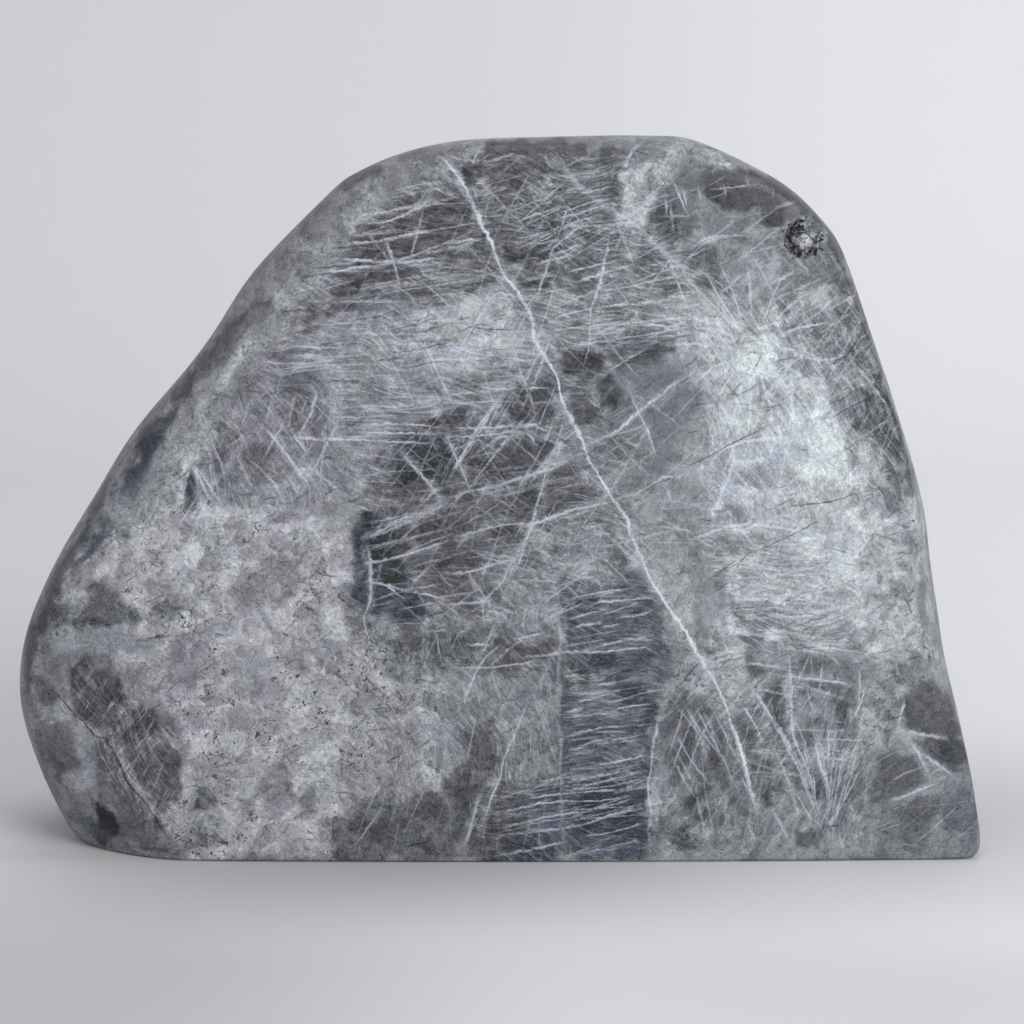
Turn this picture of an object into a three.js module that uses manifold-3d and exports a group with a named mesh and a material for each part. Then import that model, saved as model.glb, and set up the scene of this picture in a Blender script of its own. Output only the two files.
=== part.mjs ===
// A polished labradorite freeform: one piece of stone, cut flat underneath so that it stands on its own.
// Millimetres, +Z up. The origin is at the middle of the base; the polished show face looks along -Y.
import * as THREE from "three";
import { mergeVertices } from "three/addons/utils/BufferGeometryUtils.js";
import Module from "manifold-3d";

// The outline of the stone at its widest, seen from the front, as [x, z] corner to corner.
const LEFT_EDGE = [
  [-109.8, 0],
  [-115, 13],
  [-118.6, 25.3],
  [-120.8, 36.3],
  [-121, 47],
  [-118.8, 57.9],
  [-111.6, 73.1],
  [-102.2, 88.3],
  [-91.8, 104.9],
  [-78.5, 120.3],
  [-70.2, 131.2],
  [-62, 143.8],
  [-50.5, 156],
  [-38.5, 167.5],
];
const TOP_EDGE = [
  [-38.5, 167.5],
  [-26.3, 173.2],
  [-10.3, 177],
  [11.3, 178],
  [36.6, 178.3],
  [47.4, 177.5],
  [63.8, 170.4],
  [73.6, 164],
  [82.4, 154.8],
];
const RIGHT_EDGE = [
  [120.9, 0],
  [121, 5.6],
  [117.6, 25.3],
  [113.6, 45.6],
  [111.1, 64],
  [107, 87.2],
  [99.3, 109.9],
  [91.5, 131.1],
  [85.4, 148.6],
  [82.4, 154.8],
];

// The show face and the back: planes that lean towards each other as they rise, a little domed.
const FACE = { foot: -36.2, lean: 0.075, dome: 3.2 };
const BACK = { foot: 37, lean: -0.1, dome: 4.2 };
const DOME_CENTRE = { x: 0, z: 84 };
const DOME_REACH = { x: 150, z: 95 };

// Lapidary facets that trim the face and the back. Each starts on a line through `at`, falls away
// towards `towards` at `slope` and then ever more steeply on an arc of `radius` (none means flat), and
// meets what it trims over `blend` millimetres.
const FACE_FACETS = [
  { at: [-79.6, 1], towards: [-0.75, -0.66], slope: 0.16, radius: 23, blend: 1 },
  { at: [79.5, 154.5], towards: [0.75, 0.66], slope: 0.45, radius: Infinity, blend: 2 },
  { at: [-78, 118], towards: [-0.8, 0.6], slope: 0.3, radius: Infinity, blend: 8 },
];
const BACK_FACETS = [
  { at: [-66, 74], towards: [-0.9, 0.43], slope: 0.4, radius: Infinity, blend: 9 },
  { at: [70, 40], towards: [0.97, -0.24], slope: 0.42, radius: Infinity, blend: 8 },
  { at: [30, 144], towards: [0.25, 0.97], slope: 0.35, radius: Infinity, blend: 8 },
  { at: [-84, 24], towards: [-0.75, -0.66], slope: 0.36, radius: Infinity, blend: 6 },
];

// How each edge turns from the face into the side: how far in it starts, how deep it runs, and how full
// its curve is (2 is an ellipse, 1 a flat bevel). Each list runs from the start of the edge to its end.
const FRONT_TURN = {
  left: { inset: [5, 5, 8, 8, 7, 6, 6], depth: [6, 11, 16, 15, 13, 11, 10], full: 2.1 },
  top: { inset: [6, 6, 5, 4, 3.5, 3], depth: [10, 9, 8, 8, 9, 9], full: 2.2 },
  right: {
    inset: [1.2, 0.9, 1.8, 6.2, 9.2, 5.4, 2.4, 2.2, 2.4, 3],
    depth: [4, 8, 14, 22, 25, 21, 15, 10, 9, 9],
    full: 1.4,
  },
};
const BACK_TURN = {
  left: { inset: [6, 10, 13, 13, 12], depth: [6, 11, 12, 12, 11], full: 2.1 },
  top: { inset: [12, 11, 11, 12], depth: [11, 10, 9, 10], full: 2.1 },
  right: { inset: [6, 11, 12, 11, 12], depth: [7, 13, 13, 11, 10], full: 2.1 },
};
const BASE_TURN = { inset: 1, depth: 1.2, full: 2 };

// A rough pocket near the top right of the face, with a lump of pale mineral standing in it.
const POCKET = { x: 74.4, z: 154.6, radius: 3.9, sink: 1.7, rough: 0.16 };
const LUMP = { x: 74.6, z: 154.7, radius: 1.9, rise: 0.9, rough: 0.25 };

// How finely the stone is divided: across, up, and for each turn and side wall.
const CELLS = { across: 40, up: 30, turn: 4, wall: 4 };
const LEVELS = 2 * CELLS.turn + CELLS.wall;

const mix = THREE.MathUtils.lerp;

// The larger of two numbers, with the crease between them rounded off.
function softMax(a, b, blend) {
  const overlap = Math.max(blend - Math.abs(a - b), 0);
  return Math.max(a, b) + (overlap * overlap) / (4 * blend);
}

// A value from a list of evenly spaced ones, eased from each to the next.
function along(list, t) {
  const place = t * (list.length - 1);
  const index = Math.min(Math.floor(place), list.length - 2);
  return mix(list[index], list[index + 1], THREE.MathUtils.smoothstep(place - index, 0, 1));
}

function domeAt(x, z) {
  return ((x - DOME_CENTRE.x) / DOME_REACH.x) ** 2 + ((z - DOME_CENTRE.z) / DOME_REACH.z) ** 2;
}

// How far a facet has fallen below the surface that it trims, negative before its line.
function facetFall(facet, x, z) {
  const [dx, dz] = facet.towards;
  const past = (x - facet.at[0]) * dx + (z - facet.at[1]) * dz;
  return past * facet.slope + Math.max(past, 0) ** 2 / (2 * facet.radius);
}

// The depth (y) of the show face and of the back at a place on them.
function faceDepth(x, z) {
  const plane = FACE.foot + FACE.lean * z + FACE.dome * domeAt(x, z);
  return FACE_FACETS.reduce((y, facet) => y + softMax(0, facetFall(facet, x, z), facet.blend), plane);
}

function backDepth(x, z) {
  const plane = BACK.foot + BACK.lean * z - BACK.dome * domeAt(x, z);
  return BACK_FACETS.reduce((y, facet) => y - softMax(0, facetFall(facet, x, z), facet.blend), plane);
}

const curveThrough = (points) => new THREE.SplineCurve(points.map(([x, z]) => new THREE.Vector2(x, z)));
const EDGES = { left: curveThrough(LEFT_EDGE), top: curveThrough(TOP_EDGE), right: curveThrough(RIGHT_EDGE) };

// A point on an edge, moved inwards, square to the edge.
function insetPoint(side, t, inset) {
  const point = EDGES[side].getPointAt(t);
  const heading = EDGES[side].getTangentAt(t);
  // The top and the left edges run clockwise, so inwards is on their right; the right edge runs the other way.
  const turn = side === "right" ? 1 : -1;
  return new THREE.Vector2(point.x - turn * heading.y * inset, point.y + turn * heading.x * inset);
}

// Where the skin is between the face's edge (level 0) and the back's edge (the last level): the share
// of the inset that is left, the share of the turn's depth that is used, and how far back along the wall.
function levelShares(level, full) {
  const backwards = level > LEVELS / 2;
  const step = backwards ? LEVELS - level : level;
  if (step >= CELLS.turn) return { inset: 0, depth: 1, wall: (level - CELLS.turn) / CELLS.wall };
  const angle = (step / CELLS.turn) * (Math.PI / 2);
  const power = 2 / full;
  return { inset: 1 - Math.sin(angle) ** power, depth: 1 - Math.cos(angle) ** power, wall: backwards ? 1 : 0 };
}

// The depth (y) of the skin at one place, given how deep the two turns run there.
function skinDepth(x, z, share, frontTurn, backTurn) {
  return mix(faceDepth(x, z) + frontTurn * share.depth, backDepth(x, z) - backTurn * share.depth, share.wall);
}

// A point of the side skin, at t along one edge and at one level between the face and the back.
function skinPoint(side, t, level) {
  const turn = level > LEVELS / 2 ? BACK_TURN[side] : FRONT_TURN[side];
  const share = levelShares(level, turn.full);
  const place = insetPoint(side, t, along(turn.inset, t) * share.inset);
  const z = Math.max(place.y, BASE_TURN.inset * share.inset);
  const y = skinDepth(place.x, z, share, along(FRONT_TURN[side].depth, t), along(BACK_TURN[side].depth, t));
  return new THREE.Vector3(place.x, y, z);
}

// The flat base, between the bottom corners at one level. Its turns are small and even.
function basePoint(t, level) {
  const share = levelShares(level, BASE_TURN.full);
  const left = skinPoint("left", 0, level);
  const right = skinPoint("right", 0, level);
  const x = mix(left.x, right.x, t);
  const z = BASE_TURN.inset * share.inset;
  if (t <= 0) return left.setZ(z);
  if (t >= 1) return right.setZ(z);
  return new THREE.Vector3(x, skinDepth(x, z, share, BASE_TURN.depth, BASE_TURN.depth), z);
}

// The outline at one level, as four functions of t, and the surface that spans it.
function spannedPoint(u, v, level) {
  const bottom = basePoint(u, level);
  const top = skinPoint("top", u, level);
  const left = skinPoint("left", v, level);
  const right = skinPoint("right", v, level);
  const corners = [basePoint(0, level), basePoint(1, level), skinPoint("top", 0, level), skinPoint("top", 1, level)];
  const blendAxis = (axis) =>
    mix(bottom[axis], top[axis], v) +
    mix(left[axis], right[axis], u) -
    mix(mix(corners[0][axis], corners[1][axis], u), mix(corners[2][axis], corners[3][axis], u), v);
  const x = blendAxis("x");
  const z = blendAxis("z");
  return new THREE.Vector3(x, level === 0 ? faceDepth(x, z) : backDepth(x, z), z);
}

// Moves the vertices of a divided box onto the stone: its front and back become the two faces, and the
// other four sides become the skin around the edge.
function stoneBlank() {
  const box = new THREE.BoxGeometry(2, 2, 2, CELLS.across, LEVELS, CELLS.up);
  const position = box.attributes.position;
  for (let i = 0; i < position.count; i++) {
    const u = (position.getX(i) + 1) / 2;
    const v = (position.getZ(i) + 1) / 2;
    const level = Math.round(((position.getY(i) + 1) / 2) * LEVELS);
    let point;
    if (v < 1e-6) point = basePoint(u, level);
    else if (u < 1e-6) point = skinPoint("left", v, level);
    else if (u > 1 - 1e-6) point = skinPoint("right", v, level);
    else if (v > 1 - 1e-6) point = skinPoint("top", u, level);
    else point = spannedPoint(u, v, level);
    position.setXYZ(i, point.x, point.y, point.z);
  }
  return box;
}

// A small closed lump, rough all over, flattened against the face.
function roughLump({ x, z, radius, rough }, halfDepth) {
  const lump = new THREE.IcosahedronGeometry(radius, 2);
  const position = lump.attributes.position;
  for (let i = 0; i < position.count; i++) {
    const at = new THREE.Vector3().fromBufferAttribute(position, i);
    const wave = Math.sin(at.x * 2.7 + at.z) * Math.cos(at.z * 3.1 - at.x) + 0.5 * Math.sin(at.x * 5.3 - at.z * 4.1);
    at.multiplyScalar(1 + rough * wave);
    at.y *= halfDepth / radius;
    position.setXYZ(i, at.x + x, at.y + faceDepth(x, z), at.z + z);
  }
  return lump;
}

const wasm = await Module();
wasm.setup();

function solidFrom(geometry) {
  geometry.deleteAttribute("normal");
  geometry.deleteAttribute("uv");
  const merged = mergeVertices(geometry, 1e-3);
  return new wasm.Manifold(
    new wasm.Mesh({
      numProp: 3,
      vertProperties: new Float32Array(merged.attributes.position.array),
      triVerts: new Uint32Array(merged.index.array),
    }),
  );
}

function geometryFrom(solid) {
  const mesh = solid.getMesh();
  const corners = new Float32Array(mesh.numVert * 3);
  for (let i = 0; i < mesh.numVert; i++) {
    corners.set(mesh.vertProperties.subarray(i * mesh.numProp, i * mesh.numProp + 3), i * 3);
  }
  const geometry = new THREE.BufferGeometry();
  geometry.setAttribute("position", new THREE.BufferAttribute(corners, 3));
  geometry.setIndex(new THREE.BufferAttribute(new Uint32Array(mesh.triVerts), 1));
  geometry.computeVertexNormals();
  return geometry;
}

function labradorite() {
  const pocket = solidFrom(roughLump(POCKET, POCKET.sink));
  const lump = solidFrom(roughLump(LUMP, LUMP.rise));
  const deepLump = lump.add(lump.translate([0, POCKET.sink, 0]));
  const stone = solidFrom(stoneBlank()).subtract(pocket).add(deepLump);
  const polished = new THREE.MeshStandardMaterial({ color: 0x7c828a, roughness: 0.3, metalness: 0 });
  const mesh = new THREE.Mesh(geometryFrom(stone), polished);
  mesh.name = "labradorite_stone";
  return mesh;
}

const part = new THREE.Group();
part.add(labradorite());

export default part;
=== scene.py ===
import itertools
import math
import random

import bmesh
import bpy
import numpy as np
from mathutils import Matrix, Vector
from mathutils.bvhtree import BVHTree


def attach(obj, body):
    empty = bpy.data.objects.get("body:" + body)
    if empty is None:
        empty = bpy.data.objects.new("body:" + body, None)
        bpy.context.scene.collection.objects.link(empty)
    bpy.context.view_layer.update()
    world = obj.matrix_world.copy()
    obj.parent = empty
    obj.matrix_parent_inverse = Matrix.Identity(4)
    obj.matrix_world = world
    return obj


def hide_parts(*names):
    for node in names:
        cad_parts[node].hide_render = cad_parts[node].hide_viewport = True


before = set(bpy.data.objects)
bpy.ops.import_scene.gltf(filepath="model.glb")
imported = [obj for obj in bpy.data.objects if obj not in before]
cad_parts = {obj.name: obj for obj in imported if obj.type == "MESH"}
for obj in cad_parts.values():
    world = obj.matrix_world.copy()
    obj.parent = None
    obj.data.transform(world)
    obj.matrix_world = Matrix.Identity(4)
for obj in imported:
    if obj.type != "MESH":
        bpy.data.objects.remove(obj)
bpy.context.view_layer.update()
mm = 0.001  # sizes below are in millimetres, and become metres where the mesh is written


# Camera

view = {
    "aim": (3.2, -15, 85.5),
    "distance": 605,
    "rise": 11,  # degrees above level
    "lens": 85,
    "sensor": 36,
    "imageSide": 1024,  # pixels
}


def placeCamera():
    rise = math.radians(view["rise"])
    away = Vector((0, -math.cos(rise), math.sin(rise))) * view["distance"]
    data = bpy.data.cameras.new("camera")
    data.lens = view["lens"]
    data.sensor_width = view["sensor"]
    data.dof.use_dof = False
    made = bpy.data.objects.new("camera", data)
    made.location = (Vector(view["aim"]) + away) * mm
    made.rotation_euler = (math.pi / 2 - rise, 0, 0)
    bpy.context.scene.collection.objects.link(made)
    bpy.context.scene.camera = made
    return made


camera = placeCamera()
print("camera placed")


# The stone's skin: the CAD solid's own faces, merged, smoothed and cut finely on the show side

shape = {
    "node": "labradorite_stone",
    "pit": (74.4, 154.6),  # x and z of the rough pocket near the upper right shoulder
    "pitPatch": 4.6,  # faces within this reach are cleared, and the pocket is modelled again finely
    "pitBlend": 7.6,  # points within this reach are smoothed into the skin around them
    "pitSmooths": 12,
    "pitFine": 6.5,  # faces within this reach are cut once more
    "pitCuts": 2,
    "mergeGap": 0.01,
    "quadBend": 35,  # degrees: pairs of triangles flatter and squarer than these become four-sided faces
    "quadSkew": 70,
    "limitLevels": 3,  # the smooth surface that the finely cut skin is laid on
    "skinLevels": 1,
    "showCuts": 2,
    "otherCuts": 1,
    "facing": 0.5,  # how squarely a face looks forwards to count as the show side
    "baseFacing": 0.9,  # and downwards to count as the base, which stays uncut
    "faceFoot": -36.2,  # depth of the show face at the base
    "faceLean": 0.075,  # how far it leans back for each millimetre of height
}


def behindFace(places):  # how deep places are behind the show face's plane
    return places[..., 1] - shape["faceFoot"] - shape["faceLean"] * places[..., 2]


def nearPit(place, reach):
    pitX, pitZ = shape["pit"]
    return place.y < 0 and math.hypot(place.x / mm - pitX, place.z / mm - pitZ) < reach


def joinedQuads(node):
    body = bmesh.new()
    body.from_mesh(node.data)
    bmesh.ops.remove_doubles(body, verts=body.verts, dist=shape["mergeGap"] * mm)
    pocket = [f for f in body.faces if any(nearPit(v.co, shape["pitPatch"]) for v in f.verts)]
    bmesh.ops.delete(body, geom=pocket, context="FACES")
    rim = [e for e in body.edges if e.is_boundary]
    patch = bmesh.ops.holes_fill(body, edges=rim, sides=0)["faces"]
    skin = [f for f in body.faces if f not in patch]
    bmesh.ops.join_triangles(
        body,
        faces=skin,
        angle_face_threshold=math.radians(shape["quadBend"]),
        angle_shape_threshold=math.radians(shape["quadSkew"]),
    )
    bmesh.ops.poke(body, faces=patch)
    return body


def smoothed(mesh, levels):
    holder = bpy.data.objects.new("holder", mesh)
    bpy.context.scene.collection.objects.link(holder)
    smoother = holder.modifiers.new("smooth", "SUBSURF")
    smoother.levels = levels
    smoother.render_levels = levels
    bpy.context.view_layer.update()
    made = bpy.data.meshes.new_from_object(holder.evaluated_get(bpy.context.evaluated_depsgraph_get()))
    bpy.data.objects.remove(holder)
    return made


def cutFaces(body, faces, cuts):
    edges = list({edge for face in faces for edge in face.edges})
    bmesh.ops.subdivide_edges(body, edges=edges, cuts=cuts, use_grid_fill=True)


def stoneSkin(node):
    coarse = joinedQuads(node)
    mesh = bpy.data.meshes.new("stoneCoarse")
    coarse.to_mesh(mesh)
    coarse.free()
    surface = bmesh.new()
    surface.from_mesh(smoothed(mesh, shape["limitLevels"]))
    limit = BVHTree.FromBMesh(surface)
    surface.free()
    body = bmesh.new()
    body.from_mesh(smoothed(mesh, shape["skinLevels"]))
    body.normal_update()
    facing, downward = shape["facing"], shape["baseFacing"]
    others = [f for f in body.faces if f.normal.y > -facing and f.normal.z > -downward]
    cutFaces(body, others, shape["otherCuts"])
    cutFaces(body, [f for f in body.faces if f.normal.y <= -facing], shape["showCuts"])
    for vertex in body.verts:
        vertex.co = limit.find_nearest(vertex.co)[0]
    patch = [v for v in body.verts if nearPit(v.co, shape["pitBlend"])]
    for turn in range(shape["pitSmooths"]):
        bmesh.ops.smooth_vert(
            body,
            verts=patch,
            factor=0.5,
            use_axis_x=True,
            use_axis_y=True,
            use_axis_z=True,
        )
    fine = [f for f in body.faces if nearPit(f.calc_center_median(), shape["pitFine"])]
    cutFaces(body, fine, shape["pitCuts"])
    return body


# Placing by sight: a point given in image pixels is the point of the stone that the camera sees there

def solidTree(node):
    solid = bmesh.new()
    solid.from_mesh(node.data)
    tree = BVHTree.FromBMesh(solid)
    solid.free()
    return tree


onePixel = 0.257  # of the image, on the show face
stoneTree = solidTree(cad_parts[shape["node"]])


def onStone(px, py):
    focal = view["lens"] / view["sensor"] * view["imageSide"]
    half = view["imageSide"] / 2
    sight = camera.rotation_euler.to_matrix() @ Vector(((px - half) / focal, (half - py) / focal, -1))
    eye = camera.location
    hit = stoneTree.ray_cast(eye, sight)[0]
    if hit is None:  # just outside the outline: the face's own plane carries on
        lean = shape["faceLean"]
        reach = (shape["faceFoot"] * mm + lean * eye.z - eye.y) / (sight.y - lean * sight.z)
        hit = eye + sight * reach
    return hit.x / mm, hit.z / mm


def pathOnStone(text):
    pairs = [pair.split(",") for pair in text.split()]
    return np.array([onStone(float(px), float(py)) for px, py in pairs])


def rowsOf(text):  # each row is some plain words and then a path of image pixels
    rows = []
    for word in text.split():
        if "," in word:
            rows[-1][1].append(word)
        elif not rows or rows[-1][1]:
            rows.append(([word], []))
        else:
            rows[-1][0].append(word)
    return [(words, " ".join(path)) for words, path in rows]


def smoothStep(low, high, value):
    share = np.clip((value - low) / (high - low), 0, 1)
    return share * share * (3 - 2 * share)


rippleLook = {
    "heights": 8192,  # random heights that the hills are dealt from
    "mixers": (73856093, 19349663, 83492791),
}


def ripple(places, size, seed):  # a smooth random field from -1 to 1, with hills about as wide as size
    count = rippleLook["heights"]
    lattice = np.random.default_rng(seed).uniform(-1, 1, count)
    spot = places / size
    whole = np.floor(spot).astype(np.int64)
    part = spot - whole
    part = part * part * (3 - 2 * part)
    total = np.zeros(len(places))
    for corner in itertools.product((0, 1), repeat=places.shape[1]):
        key = np.zeros(len(places), dtype=np.int64)
        weight = np.ones(len(places))
        for axis, step in enumerate(corner):
            key ^= (whole[:, axis] + step) * rippleLook["mixers"][axis]
            weight *= part[:, axis] if step else 1 - part[:, axis]
        total += lattice[key & count - 1] * weight
    return total


def ripples(places, size, seed, layers=3):
    total = np.zeros(len(places))
    for layer in range(layers):
        total += ripple(places, size / 2 ** layer, seed + layer) / 2 ** layer
    return total


# Veins, threads and cracks, drawn as lines of image pixels. half is half a line's width, show is how
# strongly it shows, below nought for a dark crack, and wobble how far it wanders. A line with through
# crosses the whole stone, and slides by so much across and up for each millimetre of depth

veins = {
    "longVein": {"half": 0.58, "show": 1.0, "wobble": 0.25, "through": (0.25, 0.1), "runs": [
        "430,148 440,152 448,157 455,167 461,175 466,185 473,199 477,210 481,221 487,232 492,240 495,248 "
        "500,262 506,276 513,284 519,292 525,304 531,315 534,325 533,336 538,345 544,354 551,364 559,376 "
        "560,386 562,399 565,407 569,414 572,422 577,432 583,443 586,453 590,462 596,469 601,478 606,487 "
        "612,497 619,507 627,519 630,531 635,543 639,552 644,562 648,574 657,589 667,606 677,620 686,632 "
        "696,651 702,660 716,681 726,702 735,730 744,757 752,789 758,810 764,823"]},
    "branchVein": {"half": 0.36, "show": 0.75, "wobble": 0.3, "through": (-0.2, 0.05), "runs": [
        "565,413 563,422 560,434 555,446 549,458 546,469 543,480 541,492 537,506 533,521 530,531 525,542 "
        "522,554 518,569 512,574 508,579",
        "512,559 508,565 503,579 490,594 483,600 483,632",
        "530,693 525,707 519,721 515,733 509,746 504,757 501,767 500,775 491,794 487,808 483,821 481,835"]},
    "whiteVeins": {"half": 0.48, "show": 0.74, "wobble": 0.3, "runs": [
        "484,784 478,799 472,823 466,840 461,850", "497,620 491,635 485,649 481,658",
        "508,639 495,649 484,659 478,670 471,687 466,697 463,712", "641,137 629,151 623,163 615,176",
        "395,446 408,460 420,473 430,485 445,503",
        "372,530 366,545 369,560 370,600 364,620 366,632 370,640 365,655",
        "440,502 457,496 471,491 491,487 513,480 536,473 546,470 560,465 570,459 582,454",
        "440,542 462,536 481,530 496,526 513,523 533,523 549,518 563,513 577,509 590,507 607,503 619,498 "
        "636,494 645,489 653,484 662,478 679,477 696,465",
        "665,697 662,712 658,729 653,750 652,769 649,784 650,799 653,813 650,830 653,859",
        "791,675 790,702 791,726 796,750", "803,740 807,767", "904,736 916,753 924,770 931,784",
        "914,750 936,765 953,777", "716,510 724,490 731,470 736,450",
        "735,668 750,688 765,711 779,732 790,754 804,790 819,828",
        "787,636 790,675 790,714 796,745 805,765 812,790 815,812"]},
    "brightThreads": {"half": 0.46, "show": 0.84, "wobble": 0.25, "runs": [
        "505,386 490,412 479,431 467,449 457,465 447,482", "507,393 498,408 490,426 483,444",
        "498,397 483,420 466,449 450,477",
        "585,446 600,439 618,431 633,417 641,410 655,400 670,388 687,376",
        "628,386 635,402 641,415 648,432 653,448 658,461", "604,409 594,404 582,393",
        "442,428 481,427 520,426 536,426 557,436", "440,436 481,436 520,432 536,433",
        "481,388 512,389 542,388 560,388", "440,395 481,392", "270,436 352,440 448,444",
        "352,426 400,424 450,427", "352,433 450,433", "360,545 384,528 415,514 440,514",
        "352,566 405,555 456,538", "355,580 415,592 456,602", "375,578 410,603",
        "440,574 466,572 481,569 501,562 522,559", "440,606 474,603 496,600",
        "352,222 384,222 416,210 448,200", "340,243 384,241 448,228", "325,258 400,262 448,256",
        "322,276 352,268 384,265", "385,230 393,255 400,280 405,298", "258,420 288,458 318,497",
        "288,425 297,440 310,455", "318,385 310,415 301,432 296,445",
        "683,542 702,536 721,530 738,526 753,525 800,530 825,532", "740,461 752,461 765,455",
        "707,458 738,444 765,439 800,435", "828,722 830,746 830,774", "813,729 820,760 829,791 830,816",
        "858,664 859,688 856,709", "866,683 860,702 851,722",
        "747,681 757,695 767,714 778,729 786,745 796,762", "740,702 754,722 766,750",
        "783,779 800,801 808,815 817,825", "740,774 752,796", "892,801 911,794 929,787 947,780",
        "897,731 919,734 935,737 947,740", "907,697 902,716 899,729", "800,270 782,279 765,287"]},
    "fineThreads": {"half": 0.38, "show": 0.74, "wobble": 0.25, "runs": [
        "478,142 471,161 469,166",
        "577,195 566,205 563,217 560,229 554,243 549,257 544,272 539,284 536,298 533,306",
        "606,229 605,250 601,267 598,282 594,294 589,309 588,325 589,340 587,354 582,374",
        "621,197 594,202 573,209 549,216", "621,200 594,209 563,217 546,222",
        "611,212 580,221 549,238 529,246", "606,216 577,231 558,246 536,255", "440,244 488,238",
        "440,229 479,222", "546,258 594,240", "560,274 628,257", "568,284 638,263",
        "590,292 640,284 696,273", "542,321 594,308 696,298", "536,332 611,325 696,327",
        "560,349 628,337 662,332 696,323", "606,373 628,359 652,344", "507,376 515,354 522,340 528,325",
        "673,171 679,188 687,209 694,222", "676,222 679,240", "530,526 541,531 549,536",
        "522,427 532,439 542,451", "501,407 512,417", "447,427 450,444 459,465 464,473", "611,407 600,417",
        "621,439 643,449", "606,460 628,463", "664,485 669,496 676,506", "501,610 496,623",
        "773,185 772,202", "680,255 694,246 707,238 731,236 753,238", "683,262 701,251 714,246",
        "190,460 184,482 180,505", "190,460 204,486 215,510", "192,460 210,486 225,510", "320,638 352,636",
        "771,675 800,677 825,680 842,683 851,687", "740,663 762,665 791,671",
        "740,630 757,635 774,637 790,640", "800,642 822,647 842,651 863,654 871,663", "832,651 841,668",
        "851,654 860,668", "808,683 813,704 819,719", "832,721 849,722", "830,731 851,729",
        "813,740 836,740 871,740", "812,755 832,751", "812,757 832,759 853,762", "810,770 813,791 815,816",
        "842,767 837,791 832,816", "851,765 842,791 834,825"]},
    "meshThreads": {"half": 0.36, "show": 0.6, "wobble": 0.3, "runs": [
        "681,698 700,730 724,761 734,795", "706,701 722,730 743,770", "692,700 710,735 730,772",
        "674,731 690,760 712,790", "702,702 690,722 676,755 668,780", "715,712 700,742 690,772",
        "686,700 678,722 666,760", "668,752 682,780 700,806", "724,700 712,716 704,730",
        "815,722 822,750 828,790 829,820", "845,738 838,770 832,800 829,822", "800,760 812,790 822,822",
        "790,742 803,775 818,815", "836,716 834,760 831,800", "856,742 848,776 838,806",
        "704,191 731,188 760,183", "765,210 782,205 793,200", "720,180 724,200", "748,172 752,192",
        "664,190 668,222", "684,184 690,214", "696,182 702,206", "672,200 676,236"]},
    "sunRays": {"half": 0.38, "show": 0.74, "wobble": 0.35, "runs": [
        "744,334 722,300 700,262", "740,332 710,300 676,268", "738,340 704,322 668,306",
        "736,350 704,344 664,346", "738,358 712,368 690,386", "742,362 726,386 706,412",
        "746,366 738,400 726,440", "752,368 752,404 746,444", "758,366 768,400 776,432",
        "764,362 786,392 806,420", "770,356 800,376 836,402", "772,348 806,352 846,372",
        "772,340 800,328 834,322", "768,332 790,306 812,290", "760,328 770,300 784,274",
        "750,328 750,296 744,262", "746,330 736,296 720,256", "790,352 820,360 852,352",
        "786,366 816,388 840,424", "742,346 716,336 690,330"]},
    "blockThreads": {"half": 0.4, "show": 0.8, "wobble": 0.2, "runs": [
        "560,600 585,596 611,591 636,589", "583,605 611,601 658,598", "611,618 636,615 655,610",
        "570,629 594,623", "577,627 607,621", "582,652 600,646 623,641 641,638 658,635",
        "513,657 542,656 560,653 577,652 604,652 628,649 645,647 655,652 664,661", "594,686 621,681",
        "570,704 590,699 611,693 633,687", "602,704 624,699 645,693 669,689", "560,714 577,709 590,706",
        "565,734 585,731 600,728 635,725", "560,751 590,746", "560,783 577,780 602,775 633,769",
        "558,791 585,788 611,786 636,780 648,778", "522,801 560,794 628,789 648,782",
        "486,815 508,811 529,806 560,801 602,801 645,792", "522,821 560,815 602,811",
        "524,832 570,827 611,814 648,804", "577,837 611,832 648,821", "490,856 525,850 570,840",
        "577,854 611,847 645,840", "462,644 496,645", "449,668 483,668 508,665 525,663 544,658",
        "507,641 525,637 546,632"]},
    "hazeBands": {"half": 0.75, "show": 0.4, "wobble": 0.4, "runs": [
        "546,142 553,152 560,164 570,176 578,186 589,195 599,203 611,210 621,216 633,224 645,234 655,245 "
        "667,255 679,266 687,277 696,285 706,294 714,301",
        "791,675 789,702 791,726", "558,585 559,640 558,700 560,760 561,820 560,858",
        "500,300 540,330 566,372"]},
    "cracks": {"half": 0.2, "show": -0.8, "wobble": 0.3, "through": (0.1, 0.2), "runs": [
        "680,470 690,465 701,459 714,454 728,446 740,439 753,432 765,426 777,418",
        "823,418 834,415 844,409 858,403 871,397 881,389", "864,437 876,436 885,432 895,431",
        "782,508 805,504 830,501 844,497 864,491 883,488 899,487",
        "829,513 817,521 803,529 789,536 776,542 762,548 748,552 740,562 721,571", "711,490 724,484",
        "769,509 782,502 796,496", "837,289 847,292 859,301", "864,320 858,338 849,352 834,362 820,366",
        "902,591 909,603 916,620", "533,732 525,738 513,745", "574,835 574,859", "762,416 775,405"]},
    "heavyCracks": {"half": 0.34, "show": -0.9, "wobble": 0.3, "runs": [
        "491,836 508,842 525,847 542,852 551,858",
        "42,682 58,695 66,704 75,715 84,723 92,735 105,740 113,755 118,765 128,785 143,800 155,818 165,835 "
        "180,852"]},
}


# Sets of fine parallel threads, row by row: the values that threadKeys names, and the outline they fill
# Headings are in degrees, up to the right, and gaps and lengths in pixels

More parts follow.
